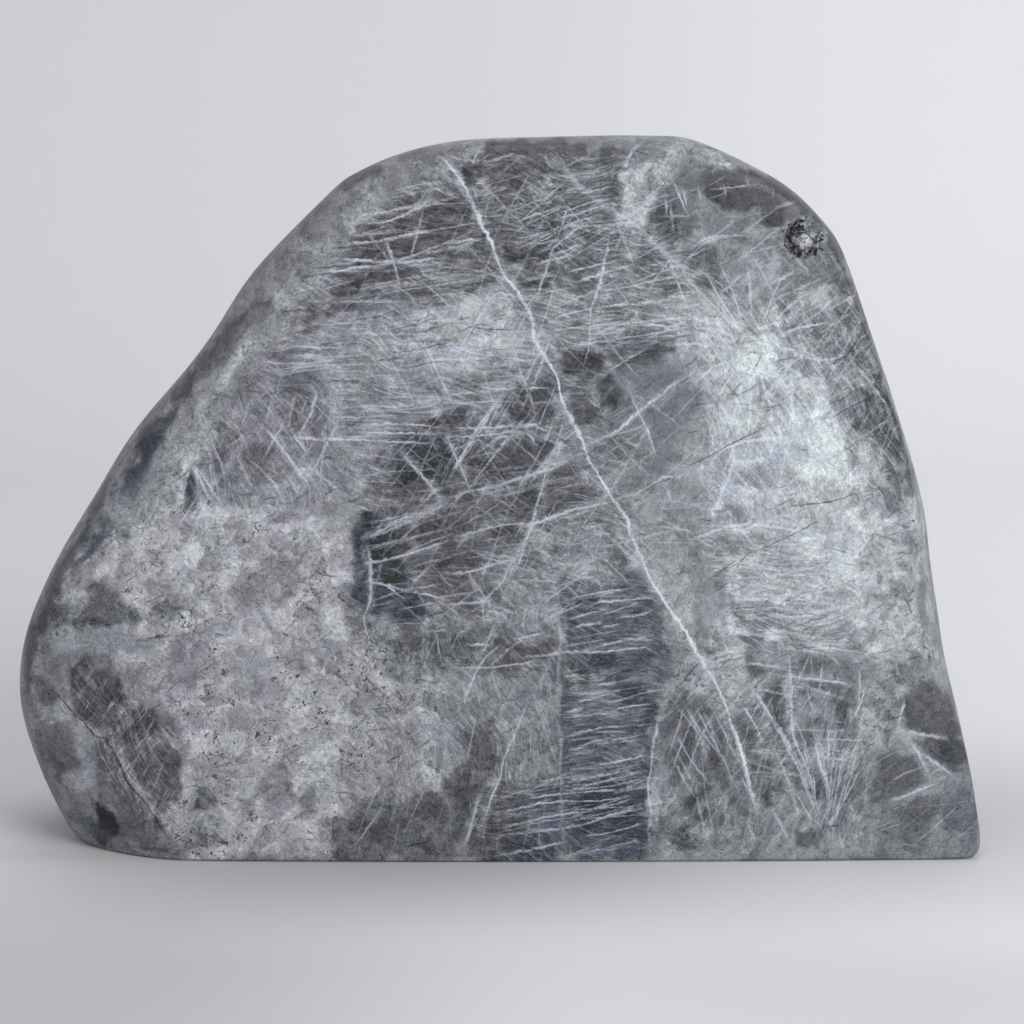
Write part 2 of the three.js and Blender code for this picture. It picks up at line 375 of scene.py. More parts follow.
threadKeys = ("heading", "spread", "gap", "length", "half", "show")
threadSets = """
    10 4 7.2 95 0.32 0.61 262,320 300,275 345,222 400,190 455,170 480,200 500,250 530,320 400,330 300,352
    2 3 7.8 80 0.31 0.61 240,370 262,320 340,325 470,320 550,350 562,405 470,420 400,440 340,445 300,380
    -57 9 31.2 80 0.31 0.55 300,300 380,200 520,165 700,250 720,400 600,520 440,500 330,420
    60 10 28.6 70 0.31 0.55 240,420 330,260 440,170 620,160 700,250 560,420 440,520
    14 6 7.8 90 0.32 0.67 500,215 600,190 690,240 720,330 600,350 545,340 510,270
    30 7 9.1 60 0.32 0.61 500,170 560,165 625,190 620,250 540,290 505,250
    58 6 13 85 0.4 0.67 430,480 465,400 520,378 560,400 545,470 500,520 450,520
    8 5 7.8 60 0.34 0.67 560,590 640,580 665,640 660,720 650,780 560,790
    12 5 6 75 0.34 0.73 490,800 560,770 648,770 650,858 480,858
    -62 7 20 85 0.36 0.54 665,690 715,690 860,700 860,845 680,850
    76 9 21 65 0.32 0.55 700,680 790,640 880,660 870,840 760,850
    -5 7 22 50 0.31 0.55 740,620 870,640 870,770 740,800
    1 4 6.5 75 0.36 0.67 700,545 830,530 850,580 815,645 735,650
    30 9 10.4 55 0.32 0.55 740,260 840,250 905,420 900,480 760,470
    64 9 13 60 0.32 0.55 715,320 850,260 905,440 880,500 705,520
    -50 10 14.3 55 0.32 0.55 690,250 830,240 900,400 890,520 740,560 690,400
    68 14 18.2 60 0.32 0.55 150,500 215,390 340,380 350,500 300,560 180,560
    -52 12 22.1 65 0.36 0.55 170,480 240,380 350,400 350,540 200,560
    20 14 11.7 55 0.31 0.55 480,145 700,150 800,190 820,240 720,300 600,200 480,200
    54 6 5.9 32 0.29 0.55 64,700 90,655 130,690 180,730 180,840 140,830 90,740
    10 7 10.4 75 0.32 0.61 350,430 560,430 600,500 580,570 440,640 360,620
    38 12 17 60 0.31 0.55 400,430 600,420 650,560 560,640 420,640 370,560
    -48 12 21 55 0.31 0.5 400,430 640,420 680,560 560,640 420,640 370,560
    -22 10 20.8 60 0.31 0.49 350,430 560,430 600,500 560,620 360,620
    62 9 20.8 60 0.32 0.49 380,430 560,430 600,500 560,620 360,640
    36 8 14.3 75 0.36 0.55 560,420 720,350 740,450 700,500 600,520
    5 12 13 60 0.31 0.55 560,500 720,480 830,500 720,560 620,600 560,570
    70 14 20.8 55 0.32 0.49 350,640 480,620 560,640 560,860 350,860
    30 14 16.9 45 0.31 0.49 860,690 905,730 975,790 978,850 860,850
    10 7 16.9 45 0.29 -0.55 262,320 300,275 345,222 400,190 455,170 480,200 500,250 560,330 720,330 560,400
      300,352
    10 25 33.8 26 0.31 -0.5 60,640 200,400 330,230 460,150 700,145 830,230 900,420 960,700 970,850 200,850
      90,830
"""

# The same for the back and the sides, in millimetres, in areas of random corners
deepThreads = {
    "headings": (8, 60, -55, 85, 20, -15),
    "turn": 6,
    "spread": 6,
    "corners": 7,
    "stretch": (1.3, 0.9),
    "charts": {
        "back": {
            "sets": 46,
            "room": (105, 75),
            "middle": 84,
            "reach": (18, 42),
            "gap": (2.2, 5.5),
            "length": (12, 30),
            "half": 0.34,
            "show": 0.62,
        },
        "wall": {
            "sets": 34,
            "room": (300, 30),
            "middle": 0,
            "reach": (14, 30),
            "gap": (2.4, 5.5),
            "length": (10, 28),
            "half": 0.32,
            "show": 0.58,
        },
    },
}


# Minerals: lightness on screen, then how blue, how violet and how green they are,
# how grainy and how specked, and how streaky

minerals = {
    "ground": (128, 0.1, 0.1, 0.1, 0.55, 0.2, 0.7),
    "night": (58, 0.4, 0.2, 0.0, 0.1, 0.0, 0.2),
    "dark": (82, 0.1, 0.4, 0.0, 0.15, 0.05, 0.4),
    "brown": (86, 0.0, 0.8, 0.0, 0.1, 0.03, 0.4),
    "redBrown": (80, 0.0, 1.1, 0.0, 0.15, 0.05, 0.4),
    "blueDark": (90, 1.0, 0.1, 0.0, 0.2, 0.03, 0.5),
    "dusk": (106, 0.1, 0.2, 0.1, 0.35, 0.1, 0.7),
    "greenDusk": (98, 0.0, 0.0, 1.0, 0.9, 0.5, 0.3),
    "smooth": (116, 0.7, 0.2, 0.0, 0.05, 0.0, 0.15),
    "lilac": (134, 0.7, 0.8, 0.0, 0.2, 0.1, 0.3),
    "violet": (98, 0.0, 1.4, 0.0, 0.1, 0.05, 0.3),
    "mist": (146, 0.4, 0.1, 0.1, 0.4, 0.05, 0.6),
    "cloud": (162, 0.0, 0.2, 0.0, 0.9, 0.5, 0.1),
    "cream": (170, 0.0, 0.1, 0.2, 0.9, 0.2, 0.2),
    "green": (146, 0.0, 0.0, 1.0, 1.0, 0.3, 0.1),
    "paleGreen": (168, 0.0, 0.0, 1.0, 0.8, 0.15, 0.1),
    "milk": (182, 0.4, 0.1, 0.3, 0.8, 0.05, 0.4),
    # the palest feldspar; where it lies, right of the middle, it also stands for painted sheen of the polish
    "snow": (208, 0.1, 0.0, 0.5, 0.8, 0.05, 0.2),
    "veil": (166, 0.5, 0.1, 0.2, 0.6, 0.1, 0.6),
    "mottle": (124, 0.0, 0.0, 0.7, 1.2, 1.0, 0.2),
}

# Patches of the show face, laid one over another. Each row is a mineral, how much of it there is,
# how soft its edge is and its outline
patches = {
    "broad regions": """
    lilac 0.6 30 240,385 300,300 345,250 400,300 560,330 560,400 440,418 350,460 320,520 220,505 170,510
    dusk 0.8 14 330,280 345,245 372,215 410,195 440,175 480,150 560,150 545,300 510,275 470,275 420,300
      340,318
    dusk 0.7 16 480,150 620,142 640,190 640,250 680,262 700,300 640,300 540,300 500,260
    dusk 0.6 14 560,330 690,325 700,390 720,470 640,500 600,470
    mist 0.6 18 300,300 420,300 500,280 560,300 640,300 720,320 560,345 545,375 440,375 300,372
    cream 0.85 9 412,345 418,322 450,305 500,298 530,318 535,338 500,348 488,365 450,372 412,372
    mist 0.5 12 300,345 420,335 420,372 300,376
    """,
    "lower left cloud": """
    cloud 0.95 12 112,520 160,503 230,497 300,505 345,520 354,560 350,640 366,700 356,770 344,812 336,858
      190,858 172,842 163,800 178,760 176,720 160,690 125,668 90,645 50,638 40,606 62,566
    cream 0.4 12 180,512 240,505 330,520 345,600 350,690 330,700 300,640 250,600 200,590 170,560
    mist 0.6 8 225,655 262,650 262,700 225,690
    green 0.5 12 300,690 400,690 420,760 360,780 310,800 300,740
    mist 0.8 6 55,642 110,634 150,640 152,655 110,656 70,660
    greenDusk 0.8 7 28,612 60,602 100,604 140,604 145,622 110,632 60,634 26,636
    dusk 0.9 5 84,602 98,580 116,580 120,602 106,624 84,622
    greenDusk 0.7 5 156,602 176,600 184,614 170,624 154,616
    dusk 0.6 5 160,572 190,570 192,588 164,590
    dusk 0.5 6 225,570 300,560 300,600 240,604
    dark 0.8 6 20,640 40,592 62,560 82,520 100,482 118,482 84,540 60,590 48,612 36,660 30,700
    dark 0.7 5 36,676 52,672 62,690 60,706 44,704
    dusk 0.7 5 44,640 60,650 76,660 70,672 50,668
    brown 0.95 3.5 72,697 78,664 90,655 110,658 118,676 124,704 114,736 100,730 78,712
    brown 0.85 4 128,706 142,697 158,706 161,726 148,735 130,730
    brown 0.8 4 112,736 128,730 160,735 178,748 180,772 174,796 152,808 140,792 122,764
    dusk 0.8 6 92,745 112,752 130,790 128,812 112,800 98,790
    dark 0.6 6 115,792 150,805 160,830 150,848 118,840
    brown 0.8 5 40,728 58,716 68,740 73,766 60,778 44,758
    dusk 0.8 5 26,690 40,706 44,760 64,800 80,826 76,840 50,790 30,740
    mist 0.8 4 58,700 72,716 88,742 98,778 100,800 92,800 78,770 70,740 56,716
    mist 0.45 4 72,760 84,770 90,810 82,816 72,790
    night 1.0 3 92,806 100,801 109,813 115,838 106,849 96,842
    dark 0.9 5 84,838 92,820 116,846 170,850 172,858 120,856
    blueDark 0.6 4 76,812 90,812 92,836 80,836
    lilac 0.9 4 168,644 182,638 190,652 197,680 188,700 178,690 164,666
    dusk 0.6 4 168,648 180,644 184,660 172,662
    dusk 0.6 3.5 180,676 194,672 196,696 186,700
    lilac 0.9 4 221,706 240,698 258,704 263,718 248,732 228,728
    lilac 0.6 4 250,676 276,672 278,696 256,694
    violet 0.45 8 262,765 282,760 290,788 282,816 262,818
    dusk 0.6 5 294,790 308,786 308,818 296,818
    greenDusk 0.7 5 184,788 206,788 210,806 188,810
    greenDusk 0.5 5 200,815 224,812 224,840 204,842
    mist 0.6 5 240,770 256,764 258,812 242,818
    dusk 0.5 4 243,800 256,800 256,816 244,818
    dusk 0.5 5 330,668 342,672 340,690 328,686
    dusk 0.6 5 342,686 356,690 362,716 350,722 340,706
    """,
    "left facet and shoulder": """
    dark 0.9 5 118,484 140,440 160,410 180,388 206,352 228,322 262,290 268,310 236,345 206,382 180,402
      168,424
    blueDark 1.0 5 118,492 134,468 144,444 150,430 160,418 171,426 166,446 156,460 150,482 134,502 118,510
      106,498
    blueDark 0.9 4 84,550 92,536 104,530 112,538 98,548 86,566 78,566
    blueDark 0.6 6 84,520 104,510 124,520 118,536 96,530 84,540
    dark 0.8 4 188,360 204,358 208,376 192,384
    dusk 0.6 6 214,330 244,322 244,360 216,362
    green 0.6 8 262,300 290,270 318,238 345,210 372,188 384,206 352,238 318,272 288,308 256,352 236,392
      216,428 190,470 160,512 128,540 112,536 140,508 162,478 182,444 200,412 214,388 232,354
    paleGreen 0.6 5 236,350 246,350 232,376 214,404 204,420 196,418 212,388
    dusk 0.7 6 240,366 262,366 262,396 236,400
    dusk 0.6 6 212,430 240,422 246,446 224,448
    dusk 0.8 5 204,446 224,446 226,478 212,478
    brown 0.6 6 244,440 270,438 272,476 250,482
    brown 0.35 10 282,388 304,376 342,378 354,402 346,430 322,450 300,442 288,418
    dark 0.5 7 288,392 308,384 312,418 296,434 290,412
    dark 0.5 5 322,384 340,382 340,398 324,402
    dusk 0.7 4 254,408 278,408 278,420 256,420
    dark 0.8 4 184,482 192,470 198,484 196,504 184,506
    dusk 0.6 4 214,474 222,486 218,500 210,492
    mist 0.8 7 215,484 300,478 300,500 226,512
    milk 0.6 4 302,466 316,464 316,476 304,478
    dusk 0.2 6 335,454 360,450 366,480 344,490
    dusk 0.5 6 270,508 290,508 288,524 270,524
    """,
    "upper left lenses between the threads": """
    dark 0.8 4 362,250 372,245 420,244 422,256 372,260 362,258
    dark 0.8 4 352,268 368,262 404,266 404,274 360,280
    night 0.6 4 346,276 358,272 362,284 350,290
    dark 0.7 4 326,306 352,298 362,306 352,312 330,320
    dark 0.7 4 326,284 344,278 350,294 334,294
    dark 0.7 4 300,306 314,304 316,318 302,320
    dark 0.7 4 306,324 318,324 318,334 306,334
    dark 0.6 5 408,290 430,280 434,292 416,300
    dark 0.9 4 424,216 436,206 480,200 484,214 470,222 430,222
    dark 0.8 3 430,226 470,226 478,232 448,244 430,240
    dark 0.7 4 442,250 500,262 500,268 442,262
    dark 0.7 4 386,222 414,220 414,234 388,230
    brown 0.6 5 362,226 384,230 388,240 366,244
    dusk 0.8 5 416,186 460,180 470,196 430,202 416,200
    dark 0.7 4 468,286 494,278 494,288 470,294
    green 0.6 6 410,166 440,160 452,176 424,186 410,184
    mist 0.7 5 442,164 462,160 466,176 444,178
    mist 0.5 6 370,188 404,186 402,206 376,210
    dark 0.8 4 340,184 360,172 384,170 384,182 350,192
    dark 0.6 5 300,224 320,204 340,206 342,230 320,236 302,240
    dark 0.5 6 400,150 450,142 458,150 430,162 400,166
    """,
    "top": """
    redBrown 0.9 4 478,142 560,139 562,154 512,160 482,160
    night 0.8 3.5 462,172 478,168 484,186 470,190
    brown 0.9 3.5 480,172 520,170 524,184 498,188 482,182
    dark 0.6 5 500,246 540,238 552,250 534,264 504,264
    night 0.5 3.5 508,252 534,250 534,262 510,264
    dark 0.7 4 524,236 560,226 556,244 534,250
    dark 0.7 4 520,282 552,276 552,290 522,292
    dark 0.7 4 552,274 582,272 580,284 556,286
    dark 0.7 5 544,144 582,142 584,160 548,158
    dark 0.7 5 590,142 620,142 624,160 598,176 592,160
    dark 0.7 4 560,200 590,190 592,206 566,212
    dark 0.7 4 566,218 600,206 604,222 576,232
    dark 0.7 4 596,186 620,182 622,200 600,200
    dark 0.6 5 604,210 620,212 616,228 602,224
    dark 0.6 5 580,236 620,240 616,256 590,260
    dark 0.7 4 546,222 560,222 558,262 546,262
    dark 0.5 5 600,302 628,298 628,312 602,314
    dark 0.6 5 576,308 590,300 590,318 578,318
    mist 0.6 8 600,250 640,246 640,330 600,330
    cream 0.9 5 620,176 648,168 660,172 652,200 646,226 630,230 622,208
    green 0.9 5 640,152 672,156 676,182 652,186 640,170
    paleGreen 0.5 4 652,158 666,158 668,174 654,174
    green 0.6 8 640,142 690,142 740,160 736,168 690,160 650,152
    brown 0.7 6 650,216 662,188 678,184 690,206 700,224 696,240 672,248 656,238
    night 0.5 4 660,206 674,202 676,236 664,240
    dusk 0.8 5 676,170 692,162 710,172 706,206 692,200
    redBrown 0.95 6 704,196 712,172 740,160 770,170 800,190 826,212 830,226 800,214 782,222 772,232 760,222
      750,206 728,202
    night 0.45 5 706,190 730,184 740,200 716,202
    redBrown 0.6 4 738,184 772,180 774,196 742,198
    night 0.5 4 760,212 774,214 772,232 758,224
    mist 0.7 8 700,212 750,216 776,236 780,300 744,300 730,260 700,250
    dark 0.5 5 684,252 716,244 720,256 706,274 694,276
    dark 0.5 5 710,268 724,262 728,284 734,296 712,294
    dusk 0.6 5 748,244 772,240 776,260 752,264
    mottle 0.9 4 786,232 800,222 822,224 824,248 806,256 790,250
    dark 0.8 5 826,222 842,240 852,270 862,300 868,330 850,322 838,280 824,250
    dusk 0.7 6 800,256 840,262 840,300 802,290
    cream 0.7 6 706,300 736,298 744,316 720,330 708,318
    """,
    "centre": """
    dark 0.85 5 582,352 630,342 634,372 622,398 600,404 582,380
    dark 0.7 5 632,346 654,342 660,356 652,368 640,372
    night 0.45 5 596,368 616,366 618,394 600,396
    dusk 0.8 5 640,374 676,366 684,376 652,396 640,390
    dark 0.7 4 558,362 578,360 580,380 562,380
    dark 0.45 5 512,366 548,366 552,384 524,390 510,380
    dark 0.85 4 502,400 520,388 552,388 556,410 546,426 508,422
    dark 0.7 4 574,398 592,396 600,418 582,426
    smooth 0.9 5 622,424 660,394 684,384 688,400 690,440 668,460 650,452 640,440
    dusk 0.5 5 606,440 640,436 644,456 620,462
    dark 0.6 6 386,380 440,378 440,392 392,396
    dusk 0.6 6 440,380 480,376 500,384 480,398 440,398
    dusk 0.7 6 400,440 420,418 470,415 470,430 452,440 400,446
    night 0.6 3 432,415 446,414 446,422 434,424
    night 0.6 3 448,414 462,416 462,424 450,424
    brown 1.0 3.5 404,446 446,442 454,460 444,476 432,494 416,500 400,498 388,480 394,456
    night 0.85 4 410,450 424,448 428,468 416,470
    night 0.8 4 428,452 452,454 450,472 434,472
    night 0.75 4 392,462 404,464 408,480 394,482
    night 0.7 3.5 442,486 456,484 456,498 442,498
    night 0.6 3 454,444 462,444 462,454 454,454
    dark 0.8 4 392,484 420,484 440,480 440,498 400,500
    dark 0.8 4 462,456 500,450 524,440 540,456 520,476 484,484 466,478
    dark 0.75 4 512,436 528,434 530,452 514,452
    night 0.7 3.5 538,440 554,436 552,452 542,450
    brown 0.95 4 500,500 512,484 538,478 536,500 528,520 508,518
    brown 0.85 4 544,474 580,462 590,484 596,498 560,512 542,516 546,492
    dusk 0.8 5 430,500 480,494 498,510 480,520 440,516
    dark 0.8 4 386,504 410,502 408,518 388,520
    dark 0.9 5 404,524 444,520 448,540 420,552 402,550
    greenDusk 0.7 5 420,548 470,540 474,568 440,572 420,566
    night 0.75 3.5 462,552 474,552 474,566 464,566
    dark 0.85 4 488,532 522,524 526,542 496,546
    dusk 0.7 6 440,560 480,566 476,610 446,612
    dusk 0.7 5 524,556 548,556 550,574 526,576
    dark 0.5 5 484,570 500,566 502,580 486,582
    blueDark 0.95 5 352,562 355,540 364,522 384,516 398,532 402,560 420,590 424,616 412,632 378,630 360,606
      352,586
    night 0.8 4 366,522 384,518 386,530 368,538
    night 0.9 4 366,544 396,544 396,558 372,560
    night 0.85 4 372,566 396,566 396,580 374,580
    night 0.6 4 352,566 364,566 364,578 352,578
    blueDark 0.6 4 376,590 420,606 420,626 384,622
    mist 0.5 6 404,572 424,568 428,586 408,590
    dark 0.2 8 352,470 372,450 386,430 384,480 366,506
    """,
    "middle bottom": """
    greenDusk 0.6 10 360,636 420,632 500,610 500,660 440,680 380,690
    brown 0.7 5 398,634 418,630 426,656 418,674 400,668 392,652
    dark 0.8 4 432,630 444,632 444,650 434,654
    dark 0.6 5 364,636 384,652 386,676 372,680 362,660
    green 0.8 8 400,690 424,680 444,700 444,770 420,776 404,750
    mist 0.6 5 444,684 470,680 470,700 446,704
    dark 0.8 4 440,704 452,702 452,714 440,716
    dark 0.8 3.5 483,706 493,706 493,728 483,728
    dark 0.7 4 392,712 400,714 400,738 392,736
    brown 0.7 7 456,742 472,732 498,736 500,764 484,790 456,796 446,776
    dark 0.65 10 342,858 346,832 366,814 388,798 412,792 440,788 456,796 480,788 560,780 566,858
    night 0.4 6 384,802 402,800 402,826 386,828
    night 0.5 5 460,790 476,788 474,812 462,814
    dusk 0.7 6 500,786 556,784 556,812 502,814
    greenDusk 0.5 6 480,840 560,840 560,858 480,858
    paleGreen 0.4 8 484,700 492,676 530,668 556,690 558,738 546,762 520,776 506,770 502,740 494,720
    dark 0.5 4 516,680 526,680 526,692 516,692
    dark 0.5 4 536,684 544,684 544,696 536,696
    dusk 0.7 4 518,736 546,734 546,750 520,754
    brown 0.8 5 498,642 548,638 552,652 520,662 500,660
    mist 0.4 8 482,570 560,576 560,630 484,630
    greenDusk 0.7 4 510,600 522,600 522,610 510,610
    dark 0.6 4 486,592 500,590 500,602 488,602
    dusk 0.6 4 542,590 552,588 552,602 542,602
    milk 0.5 5 572,562 604,560 606,574 576,578
    dusk 0.5 4 556,540 590,550 588,560 558,552
    """,
    "the dark block": """
    blueDark 0.85 9 562,584 600,580 642,574 652,594 662,614 668,640 672,656 664,690 655,725 648,770 645,800
      648,830 652,858 570,858 562,820 558,780 556,740 556,700 562,650
    night 0.6 3 574,596 602,594 602,606 576,606
    night 0.55 3 612,604 656,600 656,611 614,613
    night 0.5 3 630,590 646,588 646,598 632,600
    night 0.5 4 584,656 618,654 618,669 588,669
    night 0.5 4 630,652 655,650 655,668 634,670
    brown 0.8 5 556,668 586,660 586,704 558,706
    brown 0.6 5 560,640 580,636 580,660 562,660
    night 0.4 4 600,686 640,684 640,694 602,696
    night 0.4 4 572,724 600,722 600,742 574,744
    night 0.4 4 640,700 656,696 652,750 640,752
    mist 0.4 4 584,640 640,638 640,647 586,650
    mist 0.35 4 596,735 616,730 616,748 600,750
    night 0.6 3.5 576,808 630,801 648,798 648,808 580,816
    night 0.5 4 576,818 620,814 648,824 648,842 620,836 578,836
    dark 0.5 4 566,826 576,826 576,858 566,858
    """,
    "right of the long vein": """
    green 0.7 10 600,530 640,520 690,520 720,560 740,610 740,670 720,690 700,680 660,600 640,570 600,560
    paleGreen 0.8 6 660,585 690,575 700,610 690,630 672,620
    cream 0.7 6 706,618 734,616 738,664 716,668 706,645
    dark 0.7 3.5 714,590 728,592 728,612 716,608
    dusk 0.7 3.5 694,606 708,612 706,640 696,632
    dark 0.7 3 698,636 706,642 718,668 712,672 700,652
    dusk 0.7 5 604,530 630,540 628,575 606,560
    cream 0.6 5 674,676 700,672 716,690 700,700 680,698
    brown 0.3 8 668,706 690,700 720,710 740,760 752,800 740,810 700,800 680,780 664,760
    mist 0.75 5 660,700 672,690 668,730 662,760 655,800 648,800 652,760 656,730
    milk 0.5 5 650,770 662,768 662,800 650,802
    night 0.5 4 688,792 702,790 704,818 692,820
    dark 0.6 4 700,772 720,772 722,790 704,792
    dark 0.6 4 722,800 740,800 740,814 724,814
    green 0.7 8 652,806 690,800 700,830 740,830 740,858 652,858
    greenDusk 0.6 5 680,820 700,818 702,850 684,852
    mist 0.5 10 720,800 830,820 830,858 740,858
    dark 0.7 4 754,758 772,756 776,774 758,776
    dark 0.75 4 762,780 776,782 778,804 766,800
    dark 0.65 4 784,766 796,764 798,784 786,784
    dark 0.7 4 798,794 810,794 812,812 800,812
    dark 0.7 4 798,832 820,832 820,850 800,850
    dark 0.7 4 742,664 760,662 764,680 746,684
    dark 0.85 5 760,686 782,682 786,712 788,738 774,730 764,708
    dark 0.6 4 742,730 752,728 758,752 748,754
    dusk 0.8 5 738,640 780,636 790,660 760,672 740,666
    dusk 0.9 5 802,660 830,654 850,664 850,676 804,678
    dusk 0.8 6 802,686 850,684 856,720 830,740 804,742 800,710
    dark 0.4 5 806,700 820,698 820,716 808,716
    dark 0.5 4 832,708 850,706 850,730 834,730
    mist 0.6 6 796,748 868,750 868,764 798,764
    dusk 0.6 8 810,770 862,766 862,830 820,826
    mist 0.5 5 860,740 876,742 876,780 862,782
    green 0.75 8 862,650 900,640 910,680 900,720 900,752 872,752 858,720 866,680
    mist 0.5 8 800,622 862,622 870,650 806,650
    dusk 0.55 5 812,626 858,622 862,636 816,640
    redBrown 0.7 6 906,700 916,684 936,676 950,704 962,738 970,768 942,776 916,754 905,730
    violet 0.6 4 914,700 942,696 946,732 920,734
    night 0.35 4 934,740 962,744 964,766 940,766
    brown 0.75 7 874,768 884,752 902,755 912,768 922,784 896,800 872,792
    brown 0.75 7 894,806 928,790 942,802 930,822 912,828 896,816
    blueDark 0.4 9 940,800 958,780 972,776 980,820 980,858 940,858 930,840
    dusk 0.7 7 862,800 890,800 930,830 930,858 862,858
    blueDark 0.5 5 846,838 874,838 876,858 848,858
    """,
    # the pale veil, milk and snow patches here are pale feldspar and partly painted sheen of the polish
    "right middle": """
    veil 0.6 26 690,330 730,300 790,300 850,330 880,380 900,470 905,560 880,620 800,620 730,600 700,540
      690,450
    milk 0.75 9 716,318 760,310 800,320 832,370 838,410 846,450 850,480 830,500 808,500 800,452 780,440
      770,410 752,400 736,420 720,400 712,360
    snow 0.9 6 800,412 818,404 830,424 846,462 856,480 836,520 816,512 806,470
    snow 0.75 7 738,346 772,338 780,380 764,400 744,402 732,380
    mist 0.7 4 762,372 780,370 784,412 768,410
    smooth 0.3 5 744,412 760,404 766,420 748,436
    smooth 0.7 5 770,458 786,450 800,460 804,486 808,498 780,500 768,490
    smooth 0.4 4 772,504 812,502 812,512 776,516
    mist 0.6 5 716,430 740,424 738,500 716,506
    smooth 0.3 5 706,456 724,452 716,486 700,492
    milk 0.7 8 724,526 830,520 848,560 812,610 740,600 722,560
    smooth 0.6 5 722,536 764,530 770,546 730,550
    dusk 0.5 5 708,574 728,572 728,584 710,586
    cream 0.9 8 820,500 880,470 900,500 905,560 890,610 850,620 822,600 830,560
    snow 0.6 6 842,548 862,546 864,590 844,590
    smooth 0.6 4 878,500 896,496 898,512 880,522
    dusk 0.5 5 876,560 892,560 892,584 878,584
    green 0.6 8 862,462 902,462 908,500 880,500 862,484
    dusk 0.3 5 880,612 896,612 896,632 882,632
    dark 0.7 3.5 902,592 908,592 916,624 908,622
    dusk 0.8 6 846,352 862,332 872,330 886,376 896,414 884,420 862,388 846,376
    dark 0.9 4 862,398 880,384 894,410 904,440 900,462 876,448 866,424
    brown 0.7 4 864,404 886,404 890,432 868,432
    dusk 0.7 4 836,300 860,300 868,330 846,334
    dusk 0.5 5 836,344 852,340 856,360 838,364
    cream 0.5 7 792,290 830,280 840,330 800,350
    dark 0.6 5 896,440 908,440 916,500 904,500
    """,
    "the flank beyond the right hand crease": """
    cloud 0.8 8 908,500 930,510 940,600 950,680 932,664 914,624 908,570
    dusk 0.6 3 916,560 922,560 930,640 922,636
    """,
